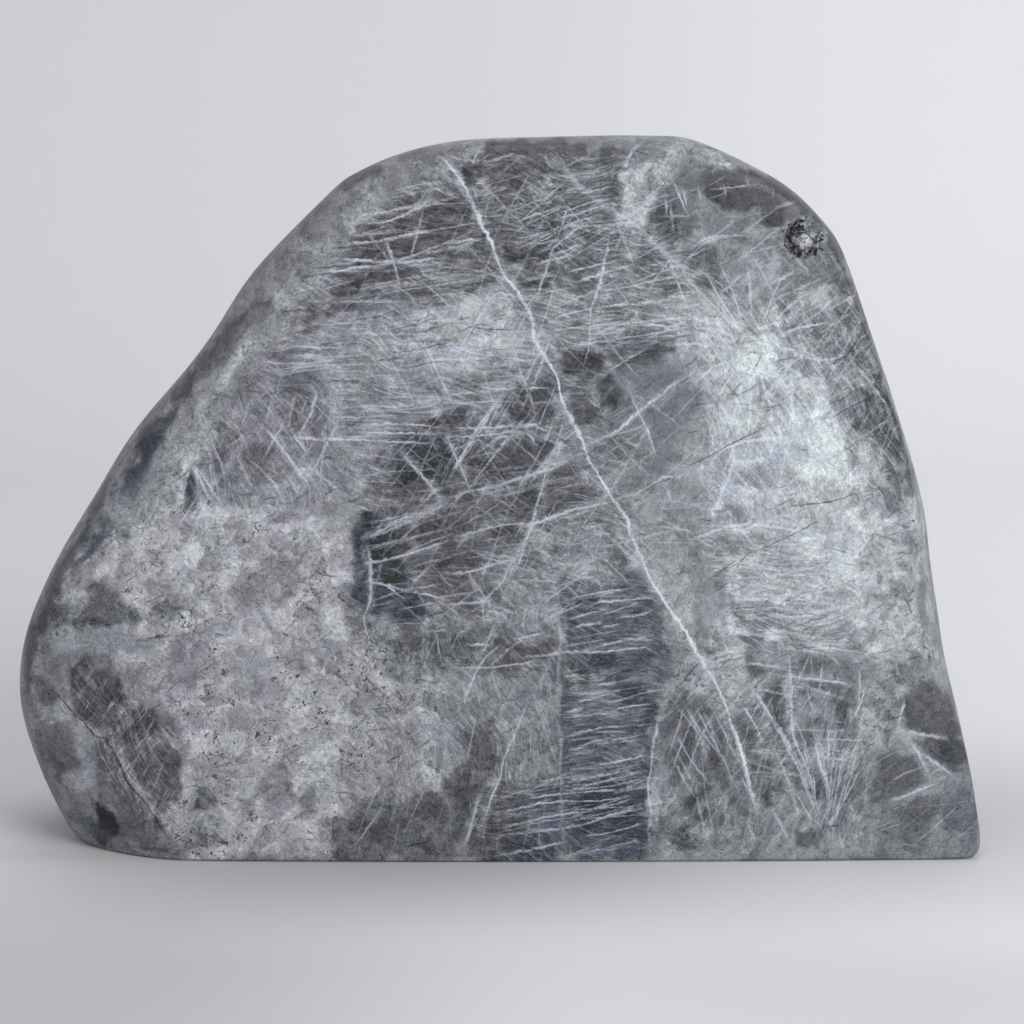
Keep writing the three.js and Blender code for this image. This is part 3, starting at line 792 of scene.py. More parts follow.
    "lighter and darker drifts over the rest": """
    mist 0.75 9 322,378 350,370 374,388 380,420 366,450 354,490 350,535 332,530 336,470 326,430
    dark 0.6 14 392,430 440,412 540,424 546,470 530,520 500,560 430,560 384,530 388,480
    cloud 0.7 12 318,668 350,640 410,650 452,676 458,760 446,790 400,800 345,792 320,740
    green 0.5 6 424,724 450,722 452,776 428,776
    milk 0.7 10 728,398 780,396 812,430 806,500 770,510 726,500 706,470 716,430
    milk 0.65 8 800,486 846,486 856,530 846,550 806,530
    cream 0.9 7 846,606 884,588 912,596 924,632 914,668 884,652 852,644
    milk 0.45 8 856,540 884,540 900,576 870,590 850,570
    dusk 0.75 6 822,376 846,366 876,392 896,436 906,486 900,512 886,508 872,464 846,424
    mist 0.55 9 652,330 700,322 712,352 704,392 676,392 664,372
    mist 0.4 8 528,346 600,334 650,332 646,348 600,360 540,372
    mist 0.6 9 556,420 596,416 624,470 640,500 600,500 572,468
    mist 0.35 10 540,560 575,556 588,586 574,606 548,606
    mist 0.15 10 598,576 650,572 662,612 650,636 606,626
    cloud 0.45 10 676,648 712,660 744,690 752,726 730,730 700,700 672,690
    mist 0.4 8 744,612 800,612 806,636 770,668 746,650
    mist 0.4 8 664,752 696,750 702,790 668,794
    mist 0.4 8 846,810 880,806 886,846 850,850
    cloud 0.4 9 296,690 336,688 346,760 310,764
    cream 0.45 9 140,546 236,534 250,570 232,606 196,604 150,570
    mist 0.4 7 84,636 124,634 130,664 96,668
    cloud 0.4 7 364,610 398,606 400,640 370,646
    dusk 0.55 7 620,140 664,140 668,156 640,162 622,156
    dusk 0.5 8 700,216 742,214 760,250 776,280 768,300 744,290 720,256
    mist 0.5 8 734,296 770,292 776,326 748,332
    mist 0.6 6 704,318 738,316 740,350 712,352
    dusk 0.4 8 596,240 630,238 632,268 600,268
    mist 0.5 8 446,326 490,322 496,362 450,362
    dusk 0.4 8 268,336 304,332 306,360 272,362
    dusk 0.5 6 228,352 252,346 250,376 232,380
    mist 0.4 7 242,304 268,300 266,336 246,336
    mist 0.4 9 300,216 336,206 340,250 330,280 300,280
    mist 0.3 9 418,262 470,258 478,284 430,290
    blueDark 0.7 10 530,790 590,790 590,858 520,858
    dusk 0.35 9 494,726 580,724 580,762 500,764
    dusk 0.4 7 640,838 760,838 760,860 640,860
    mist 0.35 12 196,360 260,376 300,368 340,360 340,400 260,420 200,420
    cloud 0.4 8 110,486 146,480 156,510 130,530 104,520
    mist 0.3 10 430,660 520,670 520,720 470,730 430,700
    mist 0.5 8 400,352 440,350 446,392 408,398
    dark 0.5 4 810,212 828,218 838,242 826,238
    mist 0.7 5 336,480 358,472 366,506 350,536 338,530
    greenDusk 0.5 6 384,650 426,650 424,686 392,684
    mist 0.4 8 484,436 520,430 524,462 492,466
    mist 0.35 8 552,426 590,420 602,452 566,464
    milk 0.4 7 730,390 762,388 766,416 734,420
    milk 0.4 7 778,424 812,420 814,466 788,466
    cloud 0.8 7 310,700 336,698 338,744 314,744
    cloud 0.85 7 334,740 362,738 364,782 338,784
    dusk 0.4 5 546,610 572,606 570,640 548,642
    blueDark 0.5 5 546,716 570,712 568,742 550,744
    mist 0.45 4 562,676 600,668 606,686 570,690
    mist 0.4 4 596,752 650,742 650,760 600,766
    mist 0.35 4 570,712 640,706 640,718 574,722
    night 0.4 5 126,480 146,440 162,430 158,456 136,494
    mist 0.5 20 636,476 716,440 724,520 716,600 660,596 616,540
    milk 0.3 16 676,430 724,400 730,470 690,490
    dusk 0.45 5 560,584 576,580 574,622 560,640
    dusk 0.4 5 554,760 572,756 570,792 556,794
    mist 0.35 6 640,664 668,656 664,690 644,694
    mist 0.3 6 576,688 612,680 616,706 580,708
    dusk 0.4 6 350,600 366,596 372,632 356,636
    night 0.6 5 404,448 424,438 452,444 458,462 438,476 414,480 398,466
    night 0.3 6 372,506 374,482 386,458 402,436 414,440 400,470 390,504
    mist 0.7 5 336,488 362,484 366,510 346,518
    night 0.25 6 384,512 420,508 424,530 390,536
    blueDark 0.5 6 372,596 406,594 412,618 378,624
    mist 0.8 10 330,352 420,346 424,392 366,410 334,406
    mist 0.4 8 560,548 616,540 622,560 590,570 566,572
    blueDark 0.4 6 588,580 640,576 640,596 590,600
    dusk 0.75 6 548,656 584,652 588,682 552,690
    blueDark 0.4 7 630,728 668,724 668,750 634,752
    blueDark 0.5 8 520,812 580,808 580,840 524,842
    blueDark 0.4 7 576,768 640,764 640,786 580,792
    cloud 0.85 8 324,630 350,626 350,672 330,676
    cloud 0.85 8 352,680 384,678 386,716 356,718
    ground 0.7 10 378,720 420,716 424,800 384,804
    greenDusk 0.45 12 340,822 380,798 440,790 470,800 474,850 340,856
    greenDusk 0.35 9 458,730 484,726 486,780 462,784
    ground 0.75 9 784,312 836,306 850,376 826,392 802,372 786,350
    dusk 0.3 7 752,298 784,294 790,320 760,324
    snow 0.8 8 730,382 762,380 766,424 738,432
    snow 0.5 7 784,424 810,422 828,462 838,502 812,498 790,462
    milk 0.5 8 850,450 884,452 888,490 856,488
    milk 0.75 10 744,490 848,486 868,560 846,590 806,560 780,522 750,524
    dusk 0.45 7 612,136 672,136 668,160 620,164
    dusk 0.4 8 690,214 744,216 748,244 700,244
    milk 0.7 8 696,656 742,652 746,690 704,692
    mist 0.9 8 744,642 796,636 812,650 790,668 748,668
    mist 0.9 8 800,696 836,694 838,722 804,724
    mist 0.85 8 836,826 872,824 876,850 838,850
    mist 0.75 9 690,562 726,558 730,620 700,632
    milk 0.55 10 674,300 724,296 730,372 700,392 672,360
    mist 0.6 7 826,366 848,366 856,404 836,408
    milk 0.4 9 786,598 884,598 886,644 790,650
    mist 0.6 8 474,684 536,680 538,716 478,720
    mist 0.6 7 436,716 468,712 474,758 444,762
    cloud 0.6 10 244,692 300,688 304,732 250,732
    dusk 0.5 8 286,380 324,380 322,412 290,412
    dusk 0.6 6 856,424 880,420 886,446 864,450
    ground 0.6 7 238,536 286,532 284,560 244,562
    dusk 0.5 6 72,560 98,556 100,584 76,588
    dusk 0.5 6 600,306 630,304 630,328 604,330
    mist 0.5 8 222,464 254,462 256,496 226,500
    dark 0.75 5 558,354 606,348 614,358 586,378 566,378
    dark 0.7 4 590,390 614,374 626,384 612,402 598,402
    dark 0.7 4 632,348 656,342 674,350 660,362 630,366
    smooth 0.8 5 620,374 660,362 684,374 650,394 628,398
    dusk 0.7 6 44,726 68,722 74,758 54,764
    dusk 0.6 8 284,290 314,284 314,312 288,316
    cream 0.6 8 862,540 898,540 900,584 866,584
    milk 0.5 8 704,452 734,452 738,488 706,488
    night 0.6 8 578,782 640,780 642,820 580,822
    cream 0.5 8 430,316 472,314 472,356 430,356
    night 0.55 4 398,442 458,438 462,462 448,478 420,488 396,486 390,466
    dark 0.8 4 400,520 452,514 474,530 478,556 452,566 404,564 396,548
    dark 0.6 4 414,412 470,408 470,424 420,428
    dark 0.5 5 500,484 548,480 548,510 508,514
    dark 0.5 5 478,448 540,444 536,466 484,476
    brown 0.6 5 408,572 470,568 476,600 420,600
    night 0.45 4 356,534 392,530 396,560 418,600 416,618 372,620 356,596
    brown 0.65 5 672,700 692,694 700,730 694,760 680,776 668,770 664,736
    brown 0.65 5 700,700 716,712 728,744 726,770 712,776 700,740
    brown 0.65 4 740,716 752,724 764,752 748,752 740,736
    brown 0.65 5 758,688 784,684 784,728 772,724 760,704
    brown 0.65 4 744,772 760,772 768,796 754,794
    brown 0.6 4 798,656 826,650 832,668 806,674
    """,
}

# Soft pale and dark bands: a mineral, how much of it there is, half its width, its softness and its path
ribbons = """
    mist 0.8 2.5 4 112,734 124,758 136,782 150,812
    mist 0.6 2 3 56,648 66,668 72,690
    cream 0.7 3 4 244,346 232,366 222,384
    milk 0.8 2.5 4 191,452 184,476 178,500
    milk 0.8 2.5 4 191,452 199,480 204,508
    mist 0.6 2.5 4 232,444 226,462 220,484
    mist 0.5 2.5 4 256,384 268,404 280,440 300,470 318,500
    mist 0.5 2.5 4 318,392 308,420 298,446
    mist 0.6 3 4 342,372 356,396 368,420 382,432
    mist 0.7 3 4 350,400 360,420
    mist 0.7 2.5 4 436,156 454,170 462,180
    mist 0.5 2.5 5 462,176 474,204 488,236 498,262 512,284 530,314 534,334
    mist 0.5 3 6 534,334 548,360 560,386
    mist 0.6 3 6 562,400 576,430 588,456 600,478
    mist 0.6 3 6 600,478 620,508 636,546 650,576
    milk 0.5 3 6 650,576 668,606 684,630 700,656 712,674
    milk 0.5 3 5 700,664 714,682
    mist 0.55 2.5 5 714,682 726,704 738,740 750,780 762,822
    mist 0.5 3 4 470,140 466,160 462,172
    mist 0.7 2.5 4 470,168 482,184 490,200
    mist 0.7 3 5 558,166 584,192 612,212 640,232 668,258 692,284 712,302
    mist 0.5 2.5 4 586,304 590,330 604,352 618,376
    mist 0.6 2.5 4 596,396 588,384 616,366 640,352 658,342
    mist 0.55 2.5 4 584,404 600,398 612,386
    mist 0.6 2.5 5 586,446 612,434 634,416 660,398 688,378
    mist 0.6 2.5 4 628,384 640,412 650,448 660,466
    mist 0.6 2.5 4 690,412 700,430 690,458 668,470
    mist 0.5 3 5 640,470 664,480 700,470
    mist 0.7 3 4 480,392 500,386 520,378 540,376
    mist 0.7 3 4 506,384 492,408 478,428 464,440
    mist 0.7 3 4 486,392 470,420 456,440
    mist 0.55 3 5 466,436 500,430 540,432 560,440
    mist 0.7 2.5 4 440,420 452,450 464,476
    mist 0.7 2.5 4 400,452 414,468 428,486 440,500
    mist 0.6 2.5 4 372,500 400,506 424,516 440,506
    mist 0.65 2.5 5 446,500 466,492 500,484 540,470 566,462 584,452
    mist 0.7 3 4 570,414 560,440 548,464
    mist 0.6 2.5 5 548,464 542,490 532,520 524,550 510,576 494,594
    mist 0.65 2.5 5 460,540 484,530 506,522 530,522 560,514 600,504
    mist 0.7 3 4 530,526 560,540 584,552 604,556
    mist 0.6 2.5 4 366,540 384,530 412,520 440,508
    mist 0.6 2.5 4 404,556 440,546 470,536
    mist 0.6 2.5 4 366,548 368,580 372,604 364,630
    mist 0.55 3 5 366,630 384,640 400,636
    mist 0.5 2.5 4 400,508 416,530 408,560
    mist 0.55 3 5 484,600 510,616 560,612
    mist 0.5 3 5 484,640 474,664 464,690
    mist 0.7 3 5 530,694 520,720 510,744 502,766
    mist 0.6 3 4 500,770 494,794 486,820 480,840
    mist 0.55 3 4 478,800 470,830 460,852
    mist 0.5 3 5 446,838 456,812 448,796
    mist 0.7 2 3 680,690 694,724 706,760 716,790
    mist 0.6 2 3 700,700 716,740 730,780 744,806
    mist 0.6 2 3 676,740 664,768 656,790
    mist 0.6 2 3 694,764 680,786 672,800
    mist 0.7 2.5 4 746,684 764,716 780,742 796,764
    mist 0.7 4 7 792,672 790,704 794,744
    mist 0.7 3 4 796,744 786,772 790,800 810,820
    mist 0.7 2.5 4 780,776 796,798 814,822
    mist 0.7 2.5 4 816,730 822,760 832,790 834,820
    mist 0.6 2 4 830,722 832,760
    mist 0.6 2.5 4 868,684 858,706 850,724
    mist 0.6 2.5 4 852,766 842,792 834,822
    mist 0.8 2.5 4 802,644 836,650 868,668
    mist 0.8 2 3 800,678 830,680 850,686
    mist 0.7 2.5 5 896,690 900,712 898,732 912,752 932,784
    mist 0.7 2.5 4 896,732 924,736 946,740
    mist 0.7 2.5 4 914,750 940,768 956,780
    mist 0.7 2.5 4 888,802 916,790 946,782
    mist 0.5 3 4 942,800 936,824 930,850
    milk 0.7 3 4 716,512 724,486 736,452 744,430
    milk 0.6 3 5 700,466 740,446 790,434
    milk 0.6 3 5 724,532 760,522 800,528
    milk 0.6 2.5 4 730,562 780,562 820,556
    milk 0.6 2.5 4 736,588 780,582 812,586
    milk 0.6 2.5 4 740,602 790,604
    milk 0.7 2.5 4 738,632 770,636 792,634
    milk 0.5 3 5 806,390 850,376 876,392
    milk 0.5 3 5 780,340 806,300 830,286
    mist 0.7 3 5 690,246 716,240 740,248 760,270 740,290
    milk 0.5 3 5 776,250 770,280 752,296 736,300
    cream 0.5 2.5 4 826,330 838,300 856,296
    dark 0.75 2.5 4 816,224 832,242 845,264 855,290 866,322 876,354 884,384
"""

# Where the grain runs level, falling and rising to the right
grainRuns = [
    ((1.0, 0.1, 0.1), 30, "220,420 330,230 460,150 620,150 700,240 740,330 560,400 560,480 440,520 330,460"),
    ((0.7, 0.1, 0.3), 30, "350,420 600,400 640,560 560,640 350,640"),
    ((1.0, 0.0, 0.0), 14, "556,580 660,575 668,640 650,860 480,860 480,790 556,770"),
    ((0.1, 0.7, 0.1), 20, "660,690 720,660 880,700 870,850 660,850"),
    ((1.0, 0.0, 0.0), 16, "700,530 830,525 860,650 740,660"),
    ((0.2, 0.2, 0.9), 20, "700,300 900,300 910,520 700,520"),
    ((0.2, 0.3, 0.8), 16, "150,500 215,390 340,380 350,500 200,520"),
    ((0.0, 0.0, 1.0), 10, "64,700 90,655 130,690 180,730 180,840 140,830 90,740"),
    ((0.2, 0.0, 0.8), 20, "350,640 556,620 556,780 350,800"),
]

deepPatches = {  # crystals of the sides and back
    "count": 190,
    "flatten": 0.6,
    "seed": 7,
    "low": (-125, -40, -5),
    "high": (125, 40, 182),
    "kinds": ["brown", "dusk", "dusk", "blueDark", "cloud", "mist", "green", "mist", "lilac", "ground",
              "cream", "smooth", "greenDusk", "veil"],
}


# Lines

lineLook = {
    "step": 3.2,  # between a line's points
    "taper": 0.16,  # share of a line that each of its tips takes, up to so many steps
    "tipSteps": 18,
    "tip": 0.6,
    "feather": 1.7,  # half widths from a line's middle to where its marks end
    "slots": 6,  # lines that one face can hold
    "cell": 1.6,
    "lean": 0.3,  # how far a line may slide sideways with depth
    "seed": 11,
    "pulseSeed": 5,
    "pulse": 0.14,  # how much a line's strength comes and goes along it
    "width": 0.85,
    "swell": 0.25,  # and its width
    "rates": (0.9, 0.37, 0.6),
}
threadLook = {
    "crowd": 1.15,  # more threads are drawn than the gap asks for
    "tries": 6,
    "bow": 0.02,
    "marks": 13,  # places along a thread that are tested against the outline
    "shortest": 3,  # and how many of them apart its ends must be
    "pointGap": 4,
    "wobble": 0.3,
    "lengths": (0.45, 1.5),
    "halves": (0.7, 1.35),
    "shows": (0.35, 1.15),
}
backVeins = {
    "count": 16,
    "x": (-100, 100),
    "z": (10, 160),
    "length": (50, 130),
    "points": 7,
    "sway": 1.5,
    "wobble": 0.5,
    "half": (0.2, 0.45),
    "shows": (0.7, 0.8, 0.6, -0.8),
}
charts = ("face", "sheet", "wall", "back")
girth = {"middle": 84, "radius": 95}  # the wall chart is unrolled round this height, at this radius
fades = {"face": (10, 26), "wall": (10, 22), "back": (0.25, 0.7), "wallBack": (0.3, 0.75)}


def wander(points, wobble, dice):  # the points joined by an even, slightly wandering curve
    points = np.vstack([2 * points[0] - points[1], points, 2 * points[-1] - points[-2]])
    found = []
    for a, b, c, d in zip(points, points[1:], points[2:], points[3:]):
        count = max(1, round(float(np.hypot(*(c - b))) / lineLook["step"]))
        t = (np.arange(count) / count)[:, None]
        found.append(0.5 * (2 * b + (c - a) * t + (2 * a - 5 * b + 4 * c - d) * t ** 2
                            + (3 * b - a - 3 * c + d) * t ** 3))
    found.append(points[-2:-1])
    curve = np.vstack(found)
    lean = np.gradient(curve, axis=0)
    across = np.stack([-lean[:, 1], lean[:, 0]], 1) / (np.hypot(lean[:, 0], lean[:, 1])[:, None] + 1e-9)
    along = np.arange(len(curve)) * lineLook["step"]
    sway = sum(np.sin(along / dice.uniform(2, 9) + dice.uniform(0, 6.3)) for turn in range(3)) / 3
    return curve + across * (sway * wobble)[:, None]


def tracedLines(dice):
    lines = []
    for style in veins.values():
        through = style.get("through")
        for run in style["runs"]:
            curve = wander(pathOnStone(run), style["wobble"], dice)
            chart = "sheet" if through else "face"
            lean = through or (lineLook["lean"] * dice.uniform(-1, 1), 0)
            lines.append((chart, curve, style["half"], style["show"], lean))
    return lines


def insideOf(outline, spots):  # even-odd test of many spots against one outline
    inside = np.zeros(len(spots), dtype=bool)
    for (ax, az), (bx, bz) in zip(outline, np.roll(outline, -1, axis=0)):
        if az != bz:
            crosses = (spots[:, 1] < az) != (spots[:, 1] < bz)
            inside ^= crosses & (spots[:, 0] < (bx - ax) * (spots[:, 1] - az) / (bz - az) + ax)
    return inside


def outlineArea(outline):
    x, z = outline.T
    return abs(float(np.dot(x, np.roll(z, -1)) - np.dot(z, np.roll(x, -1)))) / 2


def threadsIn(chart, outline, style, dice):
    low, high = outline.min(0), outline.max(0)
    lines = []
    wanted = outlineArea(outline) / (style["gap"] * style["length"]) * threadLook["crowd"]
    lean = (dice.uniform(-0.5, 0.5), dice.uniform(-0.3, 0.3))
    tries = 0
    while len(lines) < wanted and tries < wanted * threadLook["tries"]:
        tries += 1
        centre = np.array([dice.uniform(low[0], high[0]), dice.uniform(low[1], high[1])])
        heading = math.radians(dice.gauss(style["heading"], style["spread"]))
        length = style["length"] * dice.uniform(*threadLook["lengths"])
        way = np.array([math.cos(heading), math.sin(heading)])
        bow = dice.gauss(0, threadLook["bow"]) * length
        half = style["half"] * dice.uniform(*threadLook["halves"])
        show = style["show"] * dice.uniform(*threadLook["shows"])
        marks = np.linspace(-0.5, 0.5, threadLook["marks"])
        inside = insideOf(outline, centre + marks[:, None] * length * way)
        middle = len(marks) // 2
        if not inside[middle]:
            continue
        # the stretch round the middle that stays inside the outline
        first = middle - int(np.argmin(inside[middle::-1])) + 1 if not inside[:middle + 1].all() else 0
        last = middle + int(np.argmin(inside[middle:])) - 1 if not inside[middle:].all() else len(marks) - 1
        if last - first < threadLook["shortest"]:
            continue
        count = round(length * (marks[last] - marks[first]) / threadLook["pointGap"])
        t = np.linspace(marks[first], marks[last], max(3, count))
        side = np.array([-way[1], way[0]])
        points = centre + t[:, None] * length * way + (bow * (1 - 4 * t ** 2))[:, None] * side
        lines.append((chart, wander(points, threadLook["wobble"], dice), half, show, lean))
    return lines


def allLines():
    dice = random.Random(lineLook["seed"])
    lines = tracedLines(dice)
    for words, path in rowsOf(threadSets):
        style = dict(zip(threadKeys, map(float, words)))
        style["gap"] *= onePixel
        style["length"] *= onePixel
        lines += threadsIn("face", pathOnStone(path), style, dice)
    stretch = np.array(deepThreads["stretch"])
    for chart, made in deepThreads["charts"].items():
        wide, tall = made["room"]
        for turn in range(made["sets"]):
            middle = (dice.uniform(-wide, wide), made["middle"] + dice.uniform(-tall, tall))
            reach = dice.uniform(*made["reach"])
            corners = sorted(dice.uniform(0, 6.283) for corner in range(deepThreads["corners"]))
            rim = np.array([(math.cos(corner), math.sin(corner)) for corner in corners])
            style = {
                "heading": dice.choice(deepThreads["headings"]) + dice.gauss(0, deepThreads["turn"]),
                "spread": deepThreads["spread"],
                "gap": dice.uniform(*made["gap"]),
                "length": dice.uniform(*made["length"]),
                "half": made["half"],
                "show": made["show"],
            }
            lines += threadsIn(chart, middle + rim * (reach * stretch), style, dice)
    count, sway = backVeins["points"], backVeins["sway"]
    for turn in range(backVeins["count"]):
        a = np.array([dice.uniform(*backVeins["x"]), dice.uniform(*backVeins["z"])])
        heading = dice.uniform(0, 3.14)
        b = a + np.array([math.cos(heading), math.sin(heading)]) * dice.uniform(*backVeins["length"])
        points = np.linspace(a, b, count)
        points = points + np.array([[dice.gauss(0, sway), dice.gauss(0, sway)] for k in range(count)])
        show = dice.choice(backVeins["shows"])
        curve = wander(points, backVeins["wobble"], dice)
        lines.append(("back", curve, dice.uniform(*backVeins["half"]), show, (0, 0)))
    return lines


# Where each part of the surface lies on each chart

def chartSpots(chart, places, lean):
    x, y, z = places[..., 0], places[..., 1], places[..., 2]
    deep = behindFace(places)
    if chart in ("face", "sheet"):
        return np.stack([x + lean[0] * deep, z + lean[1] * deep], -1)
    if chart == "back":
        return np.stack([x, z], -1)
    return np.stack([np.arctan2(z - girth["middle"], x) * girth["radius"], y], -1)


def chartFade(chart, places, normals):
    deep = behindFace(places)
    backward = normals[..., 1]
    if chart == "sheet":
        return np.ones(deep.shape)
    if chart == "face":
        return 1 - smoothStep(*fades["face"], deep)
    if chart == "back":
        return smoothStep(*fades["back"], backward)
    return smoothStep(*fades["wall"], deep) * (1 - smoothStep(*fades["wallBack"], backward))


class SpotGrid:  # faces sorted into square cells of a chart, so that the ones near a line are found quickly
    def __init__(self, spots):
        self.cell = lineLook["cell"]
        self.low = spots.min(0) - 2 * self.cell
        columns = ((spots - self.low) / self.cell).astype(int)
        self.rows = columns[:, 1].max() + 4
        key = columns[:, 0] * self.rows + columns[:, 1]
        self.order = np.argsort(key, kind="stable")
        self.starts = np.searchsorted(key[self.order], np.arange((columns[:, 0].max() + 4) * self.rows + 1))

    def near(self, low, high):
        first = np.maximum(((low - self.low) / self.cell).astype(int), 0)
        last = ((high - self.low) / self.cell).astype(int)
        found = []
        for column in range(first[0], last[0] + 1):
            a = column * self.rows + first[1]
            b = column * self.rows + min(last[1], self.rows - 1) + 1
            if 0 <= a < len(self.starts) and b < len(self.starts):
                found.append(self.order[self.starts[a]:self.starts[b]])
        return np.concatenate(found) if found else np.zeros(0, dtype=int)


def lineRecords(lines, centres, normals, sizes):  # rows of face, line, segment and how far away it is
    records = []
    groups = {}
    for number, line in enumerate(lines):
        lean = tuple(np.round(line[4], 1)) if line[0] in ("face", "sheet") else (0, 0)
        groups.setdefault((line[0], lean), []).append(number)
    for (chart, lean), members in groups.items():
        fade = chartFade(chart, centres, normals)
        live = np.nonzero(fade > 0.02)[0]
        spots = chartSpots(chart, centres[live], lean)
        grid = SpotGrid(spots)
        for number in members:
            _, curve, half, show, _ = lines[number]
            reach = half * lineLook["feather"]
            for k in range(len(curve) - 1):
                a, b = curve[k], curve[k + 1]
                pad = reach + 2.2  # more than half a face
                some = grid.near(np.minimum(a, b) - pad, np.maximum(a, b) + pad)
                if len(some) == 0:
                    continue
                way = b - a
                long = float(way @ way) + 1e-12
                rel = spots[some] - a
                share = np.clip(rel @ way / long, 0, 1)
                far = np.hypot(*(rel - share[:, None] * way).T)
                close = far < reach + sizes[live[some]]
                hit = live[some[close]]
                same = np.ones(len(hit))
                records.append(np.stack([hit, same * number, same * k, far[close]], 1))
    return np.concatenate(records)


# For every face corner: how far off the face's nearest lines are, and how strongly they show
def lineMarks(lines, mesh):
    corners = len(mesh.loops)
    starts = np.zeros(len(mesh.polygons), dtype=int)
    counts = np.zeros(len(mesh.polygons), dtype=int)
    mesh.polygons.foreach_get("loop_start", starts)
    mesh.polygons.foreach_get("loop_total", counts)
    vertexOf = np.zeros(corners, dtype=int)
    mesh.loops.foreach_get("vertex_index", vertexOf)
    places = vertexPlaces(mesh)[vertexOf]
    centres = np.add.reduceat(places, starts) / counts[:, None]
    faceOf = np.repeat(np.arange(len(starts)), counts)
    sizes = np.maximum.reduceat(np.linalg.norm(places - centres[faceOf], axis=1), starts)
    normals = np.zeros(len(starts) * 3)
    mesh.polygons.foreach_get("normal", normals)
    normals = normals.reshape(-1, 3)

    rows = lineRecords(lines, centres, normals, sizes)
    face, line, part = rows[:, 0].astype(int), rows[:, 1].astype(int), rows[:, 2].astype(int)
    order = np.lexsort((rows[:, 3], line, face))
    face, line, part, far = face[order], line[order], part[order], rows[order, 3]
    nearest = np.ones(len(face), dtype=bool)
    nearest[1:] = (face[1:] != face[:-1]) | (line[1:] != line[:-1])
    face, line, part, far = face[nearest], line[nearest], part[nearest], far[nearest]
    half = np.array([each[2] for each in lines])
    show = np.array([each[3] for each in lines])
    weight = np.abs(show[line]) * (1 - 0.5 * np.clip(far / (half[line] + sizes[face]), 0, 1))
    order = np.lexsort((-weight, face))
    face, line, part = face[order], line[order], part[order]
    first = np.searchsorted(face, face)
    rank = np.arange(len(face)) - first
    keep = rank < lineLook["slots"]
    print(len(lines), "lines with", int(keep.sum()), "marks,", int((~keep).sum()), "left out")

    across = np.full((corners, lineLook["slots"]), 9.0)
    shows = np.zeros((corners, lineLook["slots"]))
    phase = np.random.default_rng(lineLook["pulseSeed"]).uniform(0, 6.28, (len(lines), 3))
    face, line, part, rank = face[keep], line[keep], part[keep], rank[keep]
    total = counts[face]
    row = np.repeat(np.arange(len(face)), total)
    passed = np.repeat(np.cumsum(total) - total, total)
    corner = np.repeat(starts[face], total) + np.arange(len(row)) - passed
    a = np.array([lines[n][1][k] for n, k in zip(line, part)])[row]
    b = np.array([lines[n][1][k + 1] for n, k in zip(line, part)])[row]
    lengths = np.array([len(each[1]) - 1 for each in lines])
    for chart in charts:
        mine = np.array([each[0] == chart for each in lines])[line][row]
        if not mine.any():
            continue
        lean = np.array([each[4] for each in lines])[line[row[mine]]]
        if chart in ("face", "sheet"):
            lean = np.round(lean, 1)
        spot = chartSpots(chart, places[corner[mine]], lean.T)
        way = b[mine] - a[mine]
        long = np.hypot(way[:, 0], way[:, 1]) + 1e-9
        rel = spot - a[mine]
        off = (rel[:, 0] * way[:, 1] - rel[:, 1] * way[:, 0]) / long
        share = np.clip((rel * way).sum(1) / long ** 2, -0.5, 1.5)
        mineLine = line[row[mine]]
        along = part[row[mine]] + share
        tip = lineLook["taper"] * np.minimum(lengths[mineLine], lineLook["tipSteps"]) + lineLook["tip"]
        end = np.minimum(along, lengths[mineLine] - along) / tip
        waves = phase[mineLine]
        quick, slow, swell = (np.sin(along * rate + wave) for rate, wave in zip(lineLook["rates"], waves.T))
        pulse = 1 - lineLook["pulse"] * (1 - quick * slow)
        width = half[mineLine] * (lineLook["width"] + lineLook["swell"] * swell)
        fade = chartFade(chart, places[corner[mine]], normals[face[row[mine]]])
        where = (corner[mine], rank[row[mine]])
        across[where] = off / width
        shows[where] = show[mineLine] * smoothStep(0, 1, end) * pulse * fade
    return across, shows


# Minerals of each vertex

def vertexPlaces(mesh):
    flat = np.zeros(len(mesh.vertices) * 3)
    mesh.vertices.foreach_get("co", flat)
    return flat.reshape(-1, 3) / mm


def edgeDepth(outline, spots):  # how far inside an outline each spot is, below nought outside
    far = np.full(len(spots), 1e9)
    for a, b in zip(outline, np.roll(outline, -1, axis=0)):
        way = b - a
        rel = spots - a
        share = np.clip(rel @ way / (float(way @ way) + 1e-12), 0, 1)
        far = np.minimum(far, np.hypot(*(rel - share[:, None] * way).T))
    return np.where(insideOf(outline, spots), far, -far)


def pathDepth(path, spots):  # how far each spot is from a path
    far = np.full(len(spots), 1e9)
    for a, b in zip(path, path[1:]):
        way = b - a
        rel = spots - a
        share = np.clip(rel @ way / (float(way @ way) + 1e-12), 0, 1)
        far = np.minimum(far, np.hypot(*(rel - share[:, None] * way).T))
    return far


# Lays one patch, or a ribbon where half is given, over what is there
def laidOver(under, over, spots, crumble, path, soft, amount, half=None):
    pad = soft + (half or 0)
    low, high = path.min(0) - pad, path.max(0) + pad
    some = np.nonzero(((spots > low) & (spots < high)).all(1))[0]
    inside = edgeDepth(path, spots[some]) if half is None else half - pathDepth(path, spots[some])
    inside = inside + crumble[some] * min(1.6, 0.5 * soft + 0.3)
    share = smoothStep(-soft * 0.5, soft * 0.5, inside)[:, None] * amount
    under[some] = under[some] * (1 - share) + np.array(over) * share


mixLook = {
    "sway": (8, (21, 31)),  # size and seeds of the waves in the patches' edges
    "swayReach": 1.7,
    "ribbonSway": 0.35,
    "crumble": (2.6, 37),
    "drift": (-40, 60),  # from here to here the stone turns bluer and greener
    "driftBlue": 0.2,
    "driftGreen": 0.45,
    "deepSway": (14, (41, 51, 61), 5),
    "deepRim": 4,
    "faceEnd": (8, 24),  # depths between which the face's patches give way to the deep ones
}


